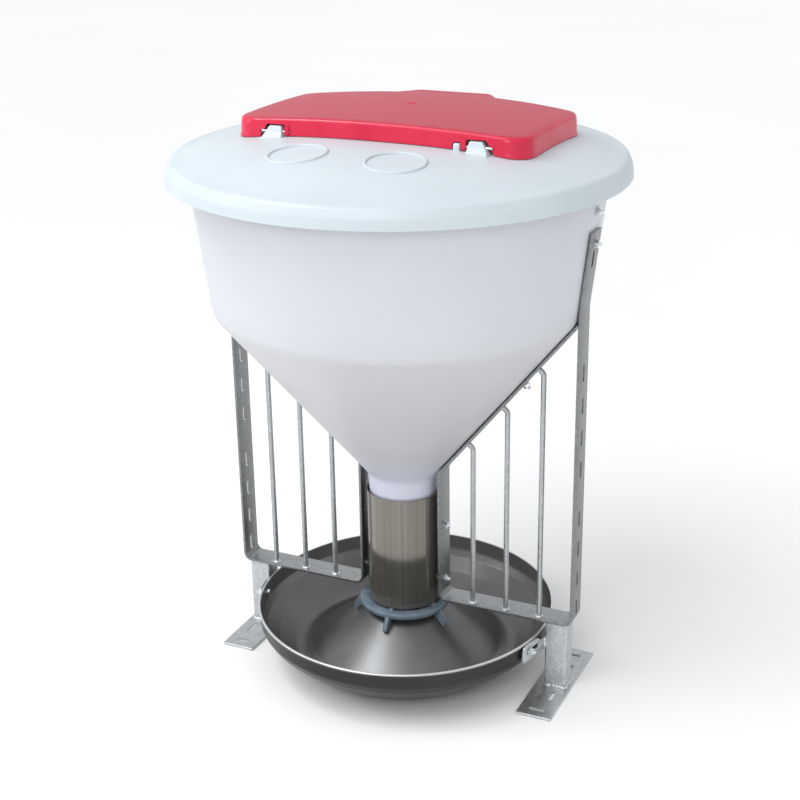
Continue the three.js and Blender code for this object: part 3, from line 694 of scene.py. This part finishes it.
def flap_outline(inset):
    """The flap's D: straight front beside the hinges, straight sides, arched rear. Runs anticlockwise."""
    half, front = FLAP_HALF - inset, FLAP_FRONT + inset
    side, rear = FLAP_SIDE - inset / 2, FLAP_REAR - inset
    sagitta = rear - side
    radius = (half ** 2 + sagitta ** 2) / (2 * sagitta)
    sweep = asin(half / radius)
    arc = []
    for step in range(41):
        angle = pi / 2 - sweep + 2 * sweep * step / 40
        arc.append((radius * cos(angle), rear - radius + radius * sin(angle)))
    front_bend = max(FRONT_CORNER - inset, 6 * MM)
    rear_bend = max(REAR_CORNER - inset, 4 * MM)
    path = rounded([
        (0, front), (half, front, front_bend), (half, side, rear_bend), *arc[3:-3], (-half, side, rear_bend),
        (-half, front, front_bend), (0, front),
    ], 16)
    return resampled(path[:-1], 240)


def resampled(path, count):
    """The same closed path with evenly spaced points."""
    closed = path + [path[0]]
    lengths = [0.0]
    for a, b in zip(closed, closed[1:]):
        lengths.append(lengths[-1] + (b - a).length)
    result = []
    j = 0
    for i in range(count):
        goal = lengths[-1] * i / count
        while lengths[j + 1] < goal:
            j += 1
        share = (goal - lengths[j]) / (lengths[j + 1] - lengths[j])
        result.append(closed[j].lerp(closed[j + 1], share))
    return result


def lid_lug(side):
    """An outer hinge lug: flat top behind the pin, hollow front, sides leaning out to the lid."""
    foot, top = HINGE_Z - 15 * MM, HINGE_Z + 8.3 * MM
    profile = rounded(mm(
        (-20, -16), (-20, -12), (-10, -6, 5), (-6, 0.5, 3), (-3.4, 8.3, 1.8), (4.9, 8.3, 0.8), (4.9, -16),
    ), 4)
    foot_inner, foot_outer = 138.5 * MM, 176 * MM
    top_inner, top_outer = 143 * MM, 162 * MM
    rings = []
    for share, edge in ((0, 1.0), (0.025, 0.3), (0.07, 0), (0.93, 0), (0.975, 0.3), (1, 1.0)):
        ring = []
        for y, z in profile:
            height = HINGE_Z + z
            rise = (height - foot) / (top - foot)
            low = foot_inner + (top_inner - foot_inner) * rise
            high = foot_outer + (top_outer - foot_outer) * rise
            x = side * (low + (high - low) * share)
            ring.append(Vector((x, HINGE_Y + y, height - edge * MM * rise)))
        rings.append(ring)
    return loft(rings)


def small_lug():
    """The small round-topped lug inside the right hinge."""
    radius, edge = 4.3 * MM, 0.8 * MM
    turns = [pi * step / 16 for step in range(17)]
    outline = [Vector((radius * cos(a), radius * sin(a))) for a in turns]
    outline += [Vector((-4.9 * MM, -14 * MM)), Vector((radius, -14 * MM))]
    low, high = INNER_LUG
    rings = []
    for x, size in ((low, 0.88), (low + edge, 1), (high - edge, 1), (high, 0.88)):
        rings.append([Vector((x, HINGE_Y + p.x * size, HINGE_Z + p.y * size)) for p in outline])
    return loft(rings)


def knockout_ring(x, y):
    """A raised moulded ring with a soft section, following the dome."""
    section = rounded(mm((37.4, -2), (38.4, 3.0, 1.8), (42.6, 3.0, 1.8), (44.2, -2)), 5)
    verts, faces = revolved(section, 96)
    shaped = []
    for v in verts:
        px, py = x + v.x, y + v.y
        shaped.append(Vector((px, py, v.z + dome_z(hypot(px, py)))))
    return shaped, faces


def opening_collar():
    """The upstand round the filler opening, a D tube with a rounded lip."""
    levels = ((0, 0.0), (0, 0.85), (0.5 * MM, 0.96), (1.2 * MM, 1.0))  # (inset, share of the height)
    outer = [(OPENING_INSET - 3 * MM + inset, share) for inset, share in levels]
    inner = [(OPENING_INSET - inset, share) for inset, share in reversed(levels)]
    rings = []
    for inset, share in outer + inner:
        ring = []
        for p in flap_outline(inset):
            base = dome_z(p.length) - 3.9 * MM
            ring.append(Vector((p.x, p.y, base + (COLLAR_Z - base) * share)))
        rings.append(ring)
    return loft(rings, wrap=True)


def prism(outline, low, high):
    return loft([[Vector((p.x, p.y, z)) for p in outline] for z in (low, high)])


def hinge_pin_bores():
    bores = []
    for label, side in SIDES:
        ends = [(side * x, HINGE_Y, HINGE_Z) for x in (NOTCH_INNER[label] - 1 * MM, NOTCH_OUTER)]
        bores.append(tube_along(ends, PIN_BORE, 24))
    return bores


def make_lid():
    skin = piece_from(*lid_skin(), "lid_skin")
    cut(skin, [prism(flap_outline(OPENING_INSET), lid_low.z - 10 * MM, HINGE_Z + 40 * MM)])
    parts = [mesh_part(skin), opening_collar(), small_lug(), lid_lug(-1), lid_lug(1)]
    parts += [knockout_ring(side * KNOCKOUT_X, KNOCKOUT_Y) for _, side in SIDES]
    add_piece("lid_shell", merged(parts), LID_PLASTIC, "lid", "hopper_lid")


def mesh_part(obj):
    """Takes an object apart into (points, faces) and removes it."""
    part = [v.co.copy() for v in obj.data.vertices], [tuple(f.vertices) for f in obj.data.polygons]
    bpy.data.objects.remove(obj)
    return part


def flap_sheet():
    """The flap's outer skin as an open sheet: flared lip, drafted wall, rounded edge and crowned top."""
    levels = (  # (inset in millimetres, share of the height)
        (-1.2, 0.0), (-1.2, 0.06), (-0.3, 0.15), (0.2, 0.22), (0.8, 0.7), (1.5, 0.84), (3.0, 0.94),
        (5.2, 0.985), (8, 1.0),
    )
    rings = []
    for inset, share in levels:
        ring = []
        for p in flap_outline(inset * MM):
            base = dome_z(p.length) + 1.0 * MM
            clear_y = max(p.y, FLAP_FRONT - 0.2 * MM)  # the lip doesn't flare towards the hinge pins
            ring.append(Vector((p.x, clear_y, base + (crown_z(*p) - base) * share)))
        rings.append(ring)
    rim = flap_outline(8 * MM)
    centre = Vector((0, (FLAP_FRONT + FLAP_REAR) / 2 - 8 * MM))
    for share in (0.94, 0.86, 0.74, 0.6, 0.45, 0.3, 0.15, 0.05):
        ring = []
        for p in rim:
            q = centre + (p - centre) * share
            ring.append(Vector((*q, crown_z(*q))))
        rings.append(ring)
    verts, faces = loft(rings, caps=False)
    faces.append(tuple(range(len(verts) - len(rim), len(verts))))
    return verts, faces


def flap_tab():
    """The grip at the rear: a downturned lip that stands out from the top edge."""
    half, drop = 57 * MM, 9 * MM
    root, tip = half + 18 * MM, half - 1 * MM
    front, rear = FLAP_REAR - 13 * MM, FLAP_REAR + 17.4 * MM
    outline = rounded([(root, front), (tip, rear, 10 * MM), (-tip, rear, 10 * MM), (-root, front)], 8)
    rings = []
    for outer_point, inner_point in zip(outline, sideways(outline, -2.4 * MM)):
        away = (outer_point - inner_point).normalized()
        edge = outer_point - away * 2 * MM
        shelf = edge - away * 2 * MM
        top = crown_z(*outer_point) - 0.4 * MM
        rings.append([
            Vector((*inner_point, top - drop)), Vector((*outer_point, top - drop)),
            Vector((*outer_point, top - 2.2 * MM)), Vector((*edge, top - 0.4 * MM)), Vector((*shelf, top)),
            Vector((*shelf, top - 2.4 * MM)), Vector((*inner_point, top - 3.6 * MM)),
        ])
    plate_top = crown_z(0, rear) - 0.4 * MM
    return [loft(rings), prism(sideways(outline, -3 * MM), plate_top - 2.4 * MM, plate_top)]


def hinge_notch(side, outline):
    """An opening in the flap's front wall round a lug, from its outline of (distance along X, height)."""
    ends = HINGE_Y - 20 * MM, HINGE_Y + 12 * MM
    return loft([[Vector((side * p.x, y, p.y)) for p in outline] for y in ends])


def hinge_notches():
    foot, top = HINGE_Z - 40 * MM, HINGE_Z + 10.3 * MM
    outer = NOTCH_OUTER - 0.5 * MM
    beside_outer_lug = rounded([
        (138 * MM, foot), (138 * MM, top, 2.5 * MM), (166 * MM, top, 3 * MM),
        (outer, HINGE_Z - 6 * MM, 3 * MM), (outer, foot),
    ], 5)
    low, high = INNER_LUG[0] - 1.6 * MM, INNER_LUG[1] + 1.4 * MM
    round_top = HINGE_Z + 6 * MM
    beside_inner_lug = rounded([
        (low, foot), (low, round_top, 3 * MM), (high, round_top, 3 * MM), (high, foot),
    ], 5)
    lugs = ((-1, beside_outer_lug), (1, beside_outer_lug), (1, beside_inner_lug))
    return [hinge_notch(side, outline) for side, outline in lugs]


def make_flap():
    flap = piece_from(*flap_sheet(), "flap_shell", 60)
    thickness = flap.modifiers.new("thickness", "SOLIDIFY")
    thickness.thickness = FLAP_WALL
    thickness.offset = -1
    settle(flap)
    cut(flap, hinge_notches())
    cut(flap, hinge_pin_bores())
    parts = [mesh_part(flap), *flap_tab()]
    for bore, (_, side) in zip(hinge_pin_bores(), SIDES):
        eye = piece_from(*knuckle(*sorted((side * KNUCKLE[0], side * KNUCKLE[1]))), "knuckle_eye")
        cut(eye, [bore])
        parts.append(mesh_part(eye))
    gate = revolved(mm((0, 0.7), (4.2, 0.8), (5.0, 1.5), (6.2, 1.4), (7.4, 0), (0, 0)), 32, GATE)
    parts.append(moved(gate, Matrix.Translation((0, 0, crown_z(*GATE) - 0.6 * MM))))
    add_piece("flap", merged(parts), FLAP_PLASTIC, "flap", "filler_flap")


def knuckle(low, high):
    """The flap's arm: a round eye on the pin with a web back and up to the flap's front wall."""
    radius = 5.4 * MM
    outline = []
    for step in range(25):
        angle = radians(205) + radians(230) * step / 24
        outline.append((radius * cos(angle), radius * sin(angle)))
    outline += mm((4, 13), (-1.8, 13))
    return loft([[Vector((x, HINGE_Y + y, HINGE_Z + z)) for y, z in outline] for x in (low, high)])


def make_hinge_pins():
    for label, _ in SIDES:
        node = "hinge_pin_" + label
        low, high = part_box(node)
        radius = (high.z - low.z) / 2
        shares = (0, 0.01, 0.025, 0.975, 0.99, 1)
        ends = [Vector((low.x + (high.x - low.x) * t, HINGE_Y, HINGE_Z)) for t in shares]
        radii = [radius * t for t in (0.65, 0.9, 1, 1, 0.9, 0.65)]
        add_piece("hinge_pin_steel_" + label, tube_along(ends, radii, 24), ZINC, "lid", node)


# ---- Drop tube, pan and agitator ----

tube_low, tube_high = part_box("drop_tube")
pan_low, pan_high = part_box("feed_pan")
agitator_low, agitator_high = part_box("agitator")
PAN_RIM_Z = 97 * MM
CONE_TOP = 129 * MM
CONE_SLOPE = 0.7
PIVOT_BORE = 5.6 * MM


def cone_z(radius):
    return CONE_TOP - CONE_SLOPE * radius


def make_tube():
    radius, low, high = tube_high.x, tube_low.z, tube_high.z
    bore = radius - 1.5 * MM
    profile = rounded([
        (bore, high - 3 * MM), (bore, low, 0.5 * MM), (radius, low, 0.6 * MM), (radius, high, 0.6 * MM),
        (bore, high, 0.5 * MM), (bore, high - 3 * MM),
    ], 3)[:-1]
    tube = piece_from(*revolved(profile, 128), "drop_tube_skin")
    travel = next(j for j in frame["joints"] if j["name"] == "tube_slide")["range_m"][1]
    width = 7.2 * MM
    slots = []
    for level in ("upper", "lower"):
        centre = (0, 0, middle(f"tube_{level}_right_nut").z - travel / 2)
        slots.append(slot_prism(centre, Z, Y, X, travel + width, width, 0.2))
    cut(tube, slots)
    finish_piece(tube, TUBE_STEEL, "tube", "drop_tube")


def make_pan():
    rim, top = pan_high.x, PAN_RIM_Z
    wall = 1.8 * MM
    boss_top = cone_z(16 * MM)
    outside = rounded([
        (PIVOT_BORE, boss_top - wall), (15 * MM, boss_top - wall, 4 * MM),
        (158 * MM, cone_z(158 * MM) - 1.25 * wall, 8 * MM), (170 * MM, pan_low.z, 10 * MM),
        *mm((205, 40.5, 30), (224.5, 59, 20)), (rim - 2.6 * MM, 72 * MM, 14 * MM),
        (rim - 1.4 * MM, top - 5 * MM, 2 * MM), (rim, top - 4 * MM, 1.2 * MM), (rim, top, 1.6 * MM),
        (rim - 3.2 * MM, top, 1.6 * MM),
    ], 6)
    inside = rounded([
        (rim - 3.4 * MM, top - 4 * MM), (rim - 4.6 * MM, 73 * MM, 13 * MM),
        *mm((223, 60.5, 18), (203.6, 42, 28)),
        (170 * MM, pan_low.z + 2.2 * MM, 22 * MM), (152 * MM, cone_z(152 * MM), 26 * MM),
        (16 * MM, boss_top, 6 * MM), (PIVOT_BORE, boss_top),
    ], 6)
    add_piece("pan_dish", revolved(outside + inside, 224), PAN_STEEL, "stand", "feed_pan")


def make_agitator():
    section = rounded(mm(
        (60, 96), (60, 93, 1), (69, 93, 2), (72, 97, 2.5), (72, 103, 2.2), (55, 103, 0.8), (55, 100, 0.8),
        (60, 96),
    ), 4)[:-1]
    top = agitator_high.z
    low = top - 14 * MM
    hub = rounded([
        (PIVOT_BORE, low + 3 * MM), (PIVOT_BORE, low, 0.6 * MM), (14 * MM, low, 1.5 * MM),
        (13 * MM, top, 1.5 * MM), (PIVOT_BORE, top, 0.6 * MM), (PIVOT_BORE, low + 3 * MM),
    ], 3)[:-1]
    tip = max(agitator_high.x, -agitator_low.y) - 1 * MM
    arm = rounded([
        (12 * MM, cone_z(12 * MM) + 6 * MM), (tip - 5 * MM, cone_z(tip - 5 * MM) + 3.2 * MM, 3 * MM),
        (tip, cone_z(tip) + 4 * MM, 2 * MM), (tip + 0.5 * MM, cone_z(tip) + 8 * MM, 2 * MM),
        (76 * MM, cone_z(76 * MM) + 15 * MM, 4 * MM), *mm((71, 99, 2), (61, 102, 3)), (12 * MM, top - 2 * MM),
    ], 5)
    parts = [revolved(section, 120), revolved(hub, 48)]
    for i in range(5):
        turn = Matrix.Rotation(radians(-89 + 72 * i), 4, "Z")
        parts.append(moved(arm_solid(arm), turn))
    add_piece("agitator_moulding", merged(parts), AGITATOR_PLASTIC, "agitator_wheel", "agitator", sharp=50)


def arm_solid(profile):
    """An arm with softly rounded flanks: full height at its middle, drawn in a little at its sides."""
    half = 3.2 * MM
    rings = []
    for share, shrink in ((-1, 1.3), (-0.9, 0.5), (-0.7, 0.1), (0.7, 0.1), (0.9, 0.5), (1, 1.3)):
        line = sideways(profile, -shrink * MM)
        rings.append([Vector((p.x, share * half, p.y)) for p in line])
    return loft(rings)


# ---- Fasteners ----

NUT_FLAT = 5 * MM
PIVOT_FLAT = 8 * MM


def hexagon(flat_radius, low, high, bore, chamfer_low=True, chamfer_high=True):
    """A hexagon with the curved chamfers of a turned nut; bore 0 makes it solid. Its axis is Z."""
    slope = tan(radians(30))
    count = 48
    rings = []
    for i in range(count):
        angle = TAU * i / count
        corner = flat_radius / cos((angle + pi / 6) % (pi / 3) - pi / 6)
        drop = (corner - flat_radius * 0.96) * slope
        ring = [
            (bore, low), (flat_radius * 0.95, low), (corner, low + (drop if chamfer_low else 0)),
            (corner, high - (drop if chamfer_high else 0)), (flat_radius * 0.95, high), (bore, high),
        ]
        rings.append([Vector((r * cos(angle), r * sin(angle), z)) for r, z in ring])
    return loft(rings, wrap=True)


def washer(outer, inner, low, high):
    edge = 0.25 * MM
    profile = [
        (inner, low), (outer - edge, low), (outer, low + edge), (outer, high - edge), (outer - edge, high),
        (inner, high),
    ]
    return revolved(profile, 48)


def threaded_shank(radius, low, high, plain_to):
    """A shank with thread ridges from plain_to upwards and a chamfered tip."""
    pitch, depth = 1 * MM, 0.45 * MM
    profile = [(0, low), (radius, low), (radius, plain_to)]
    z = plain_to
    while z + pitch < high - 0.6 * MM:
        profile += [(radius - depth, z + pitch * 0.5), (radius, z + pitch)]
        z += pitch
    profile += [(radius - 0.7 * MM, high), (0, high)]
    return revolved(profile, 32)


def make_fastener(place, label, direction):
    """A bolt with its head inside and a washer and nut outside, on the axis of the CAD's own nut."""
    nut_node, bolt_node = f"{place}_{label}_nut", f"{place}_{label}_bolt"
    centre = middle(nut_node)
    upright = direction.to_track_quat("Z", "Y").to_matrix().to_4x4()
    turn = Matrix.Rotation(0.4 * noise.noise(centre * 40) + 0.25, 4, "Z")
    seat = Matrix.Translation(centre) @ upright @ turn
    base = centre.dot(direction)
    nut_low, nut_high = (reach - base for reach in span(nut_node, direction))
    bolt_low, bolt_high = (reach - base for reach in span(bolt_node, direction))
    washer_top = nut_low + 1 * MM
    nut = merged([
        hexagon(NUT_FLAT, washer_top, nut_high, 3.0 * MM),
        washer(6.2 * MM, 3.2 * MM, nut_low - 0.1 * MM, washer_top),
    ])
    add_piece(f"{place}_nut_washer_{label}", moved(nut, seat), ZINC, "stand", nut_node)
    head_top = bolt_low + 4 * MM
    bolt = merged([
        hexagon(NUT_FLAT, bolt_low, head_top, 0, True, False),
        threaded_shank(2.9 * MM, head_top - 0.5 * MM, bolt_high, nut_low - 2 * MM),
    ])
    add_piece(f"{place}_bolt_{label}_steel", moved(bolt, seat), ZINC, "stand", bolt_node)


def make_fasteners():
    lean = Vector((1, 0, -WALL_TAPER)).normalized()
    slope = Vector((sin(CONE_ANGLE), 0, -cos(CONE_ANGLE)))
    places = {"wall": lean, "bar_top": lean, "cone": slope, "tube_upper": X, "tube_lower": X}
    for label, side in SIDES:
        for place, direction in places.items():
            make_fastener(place, label, Vector((side * direction.x, 0, direction.z)))
        bracket = middle(f"pan_{label}_nut")
        make_fastener("pan", label, Vector((bracket.x, bracket.y, 0)).normalized())


def make_pivot():
    low, high = span("pivot_bolt", Z)
    head_low = high - 5 * MM
    head = hexagon(PIVOT_FLAT, head_low, high, 0, False, True)
    shank = threaded_shank(4.9 * MM, low, head_low + 0.5 * MM, head_low)
    spacer = washer(9 * MM, 5.3 * MM, *span("pivot_spacer", Z))
    nut = hexagon(PIVOT_FLAT, *span("pivot_nut", Z), 5.1 * MM)
    add_piece("pivot_bolt_steel", merged([head, shank]), ZINC, "stand", "pivot_bolt")
    add_piece("pivot_spacer_ring", spacer, ZINC, "stand", "pivot_spacer")
    add_piece("pivot_nut_hex", nut, ZINC, "stand", "pivot_nut")


# ---- Side panels ----

BAR_WIDTH = 40 * MM
BAR_THICK = 4 * MM
BAR_BEND = 12 * MM
SLOT_LENGTH = 26 * MM
SLOT_WIDTH = 7.5 * MM
SLOT_HEIGHTS = [140, 190, 240, 290, 370, 420, 470, 520, 690]
bar_low, bar_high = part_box("panel_bar_right")
BAR_BOTTOM = bar_low.z + BAR_THICK / 2
BAR_INNER = bar_low.x + BAR_THICK / 2
BAR_OUTER = 283 * MM
BAR_BREAK = SHOULDER_Z + 22 * MM
SLOPE_END = BAR_OUTER - 2.4 * MM
ROD_RADIUS = 4 * MM
ROD_BEND = 9 * MM
FOOT_SLOTS = ((255, 85, X, Y), (264, 42, Y, X))  # place in millimetres, then along and across the slot
SLOPE_NORMAL = Vector((sin(CONE_ANGLE), -cos(CONE_ANGLE)))
SLOPE_START = Vector((NECK_RADIUS, NECK_Z)) + SLOPE_NORMAL * (BAR_THICK / 2 + 0.6 * MM)


def slope_z(x):
    return SLOPE_START.y + (x - SLOPE_START.x) * CONE_RISE


def lean_x(z):
    return hopper_radius_at(z) + 0.6 * MM + BAR_THICK / 2


def ribbon(path):
    """A flat bar with softened edges along a path in the XZ plane."""
    lines = [
        [Vector((point.x, v, point.y)) for point in sideways(path, u)]
        for u, v in rounded_rectangle(BAR_THICK, BAR_WIDTH, 0.7 * MM, 2)
    ]
    return loft(list(zip(*lines)))


def bar_path():
    top = bar_high.z - 0.2 * MM
    return rounded([
        (lean_x(top), top), (BAR_OUTER, BAR_BREAK, 30 * MM), (BAR_OUTER, BAR_BOTTOM, BAR_BEND),
        (BAR_INNER, BAR_BOTTOM, BAR_BEND), (BAR_INNER, slope_z(BAR_INNER), BAR_BEND),
        (SLOPE_END, slope_z(SLOPE_END)),
    ], 8)


def make_bar(label, side):
    bar = piece_from(*moved(ribbon(bar_path()), Matrix.Diagonal((side, 1, 1, 1))), "bar_" + label)
    cutters = []
    for height in SLOT_HEIGHTS:
        z = height * MM
        x = lean_x(z) if z > BAR_BREAK else BAR_OUTER
        cutters.append(slot_prism((side * x, 0, z), Z, Y, X, SLOT_LENGTH, SLOT_WIDTH, 30 * MM))
    cut(bar, cutters)
    finish_piece(bar, BAR_STEEL, "stand", "panel_bar_" + label)


def make_rods(label, side):
    """Upright rods, each with an elbow that meets the bar's slope squarely."""
    reach = ROD_BEND * tan(CONE_ANGLE / 2) + 5 * MM
    inward = -SLOPE_NORMAL
    for i in (1, 2, 3):
        node = f"rod_{label}_{i}"
        low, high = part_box(node)
        x = max(abs(low.x), abs(high.x)) - ROD_RADIUS
        y = (low.y + high.y) / 2
        end_x = x + inward.x * reach
        end_z = slope_z(end_x) - BAR_THICK / 2 / cos(CONE_ANGLE)
        path = rounded([(x, low.z - 0.3 * MM), (x, end_z - inward.y * reach, ROD_BEND), (end_x, end_z)], 8)
        path = [Vector((side * p.x, y, p.y)) for p in path]
        path[0:1] = [path[0].lerp(path[1], share) for share in (0, 0.3, 0.6)]
        add_piece(f"rod_bar_{label}_{i}", tube_along(path, ROD_RADIUS, 20), ROD_STEEL, "stand", node)
        foot = ring_points((side * x, y, low.z), 4.6 * MM, Z, 140, 320)
        top = ring_points((side * end_x, y, end_z), 4.4 * MM, (side * inward.x, 0, inward.y), 0, 300)
        add_bead(f"weld_rod_foot_{label}_{i}", foot, 1.7 * MM)
        add_bead(f"weld_rod_top_{label}_{i}", top, 1.3 * MM)


def ring_points(centre, radius, axis, start, sweep):
    """Points on a circle about an axis, from a start angle over a sweep in degrees."""
    axis = Vector(axis).normalized()
    first = X if abs(axis.x) < 0.9 else Z
    first = (first - axis * first.dot(axis)).normalized()
    second = axis.cross(first)
    count = 26
    points = []
    for i in range(count):
        angle = radians(start + sweep * i / (count - 1))
        points.append(Vector(centre) + (first * cos(angle) + second * sin(angle)) * radius)
    return points


def line_points(start, end, count=30):
    start, end = Vector(start), Vector(end)
    return [start.lerp(end, i / (count - 1)) for i in range(count)]


def add_bead(name, points, radius):
    """A weld bead: overlapping ripples along a line, uneven and tapered at its ends."""
    radii, path = [], []
    last = len(points) - 1
    for i, point in enumerate(points):
        ripple = 1 + 0.16 * sin(i * 2.1)
        lump = 1 + 0.35 * noise.noise(point * 260)
        taper = min(1, 0.35 + 0.65 * min(i, last - i) / 2)
        radii.append(radius * ripple * lump * taper)
        path.append(point + noise.noise_vector(point * 190) * radius * 0.25)
    add_piece(name, tube_along(path, radii, 10), WELD, "stand", sharp=80)


def make_leg(label):
    low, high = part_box("leg_" + label)
    size = high - low
    centre = (low + high) / 2
    wall = 2 * MM
    outer = rounded_rectangle(size.x, size.y, 3.2 * MM, 5)
    inner = rounded_rectangle(size.x - 2 * wall, size.y - 2 * wall, 1.4 * MM, 5)
    bottom, top = low.z - 0.3 * MM, high.z + 0.3 * MM
    loops = [(outer, bottom), (outer, top), (inner, top), (inner, bottom)]
    rings = [[Vector((centre.x + x, centre.y + y, z)) for x, y in ring] for ring, z in loops]
    add_piece("leg_tube_" + label, loft(rings, wrap=True), FOOT_STEEL, "stand", "leg_" + label)
    edges = {
        "front": ((low.x, low.y), (high.x, low.y)), "back": ((low.x, high.y), (high.x, high.y)),
        "inner": ((low.x, low.y), (low.x, high.y)), "outer": ((high.x, low.y), (high.x, high.y)),
    }
    foot_z, top_z = bottom + 0.6 * MM, top - 0.4 * MM
    for edge, (start, end) in edges.items():
        add_bead(f"weld_leg_{edge}_{label}", line_points((*start, foot_z), (*end, foot_z)), 1.9 * MM)
    for edge in ("front", "back"):
        start, end = edges[edge]
        add_bead(f"weld_leg_top_{edge}_{label}", line_points((*start, top_z), (*end, top_z)), 1.6 * MM)


def make_foot(label, side):
    node = "foot_plate_" + label
    low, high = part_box(node)
    centre = (low + high) / 2
    ring = rounded_rectangle(high.x - low.x, high.y - low.y, 1.2 * MM, 3)
    rings = []
    for inset, z in ((0.4 * MM, low.z), (0, low.z + 0.4 * MM), (0, high.z - 0.5 * MM), (0.5 * MM, high.z)):
        drawn_in = [(x - copysign(inset, x), y - copysign(inset, y)) for x, y in ring]
        rings.append([Vector((centre.x + x, centre.y + y, z)) for x, y in drawn_in])
    plate = piece_from(*loft(rings), "foot_" + label)
    cutters = []
    for end in (-1, 1):
        for x, y, along, across in FOOT_SLOTS:
            place = (side * x * MM, end * y * MM, centre.z)
            cutters.append(slot_prism(place, along, across, Z, 25 * MM, 6.5 * MM, 20 * MM))
    cut(plate, cutters)
    finish_piece(plate, FOOT_STEEL, "stand", node)


def make_bracket(label, side):
    """A flat tab beside the pan with a levelling slot: the CAD solid's own outline, with rolled edges."""
    node = "pan_bracket_" + label
    bracket = bpy.data.objects.new("bracket_" + label, frame["nodes"][node].data.copy())
    show(bracket)
    work = bmesh.new()
    work.from_mesh(bracket.data)
    bmesh.ops.remove_doubles(work, verts=work.verts, dist=1e-6)
    bmesh.ops.dissolve_limit(work, angle_limit=radians(2), verts=work.verts, edges=work.edges)
    work.to_mesh(bracket.data)
    work.free()
    soften(bracket, 0.5 * MM)
    finish_piece(bracket, FOOT_STEEL, "stand", node)
    leg_low, leg_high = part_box("leg_" + label)
    face_x = leg_low.x if side > 0 else leg_high.x
    seam = line_points((face_x, leg_low.y, 70 * MM), (face_x, leg_low.y, 87 * MM), 20)
    add_bead("weld_bracket_" + label, seam, 1.8 * MM)


def make_panels():
    for label, side in SIDES:
        make_bar(label, side)
        make_rods(label, side)
        make_leg(label)
        make_foot(label, side)
        make_bracket(label, side)
        x = side * (BAR_OUTER - 3.2 * MM)
        z = slope_z(SLOPE_END) - 3 * MM
        add_bead("weld_slope_end_" + label, line_points((x, -18 * MM, z), (x, 18 * MM, z), 34), 2.0 * MM)


# ---- The scene ----

make_camera()
make_studio()
make_hopper()
make_lid()
make_flap()
make_hinge_pins()
make_tube()
make_pan()
make_agitator()
make_pivot()
make_panels()
make_fasteners()
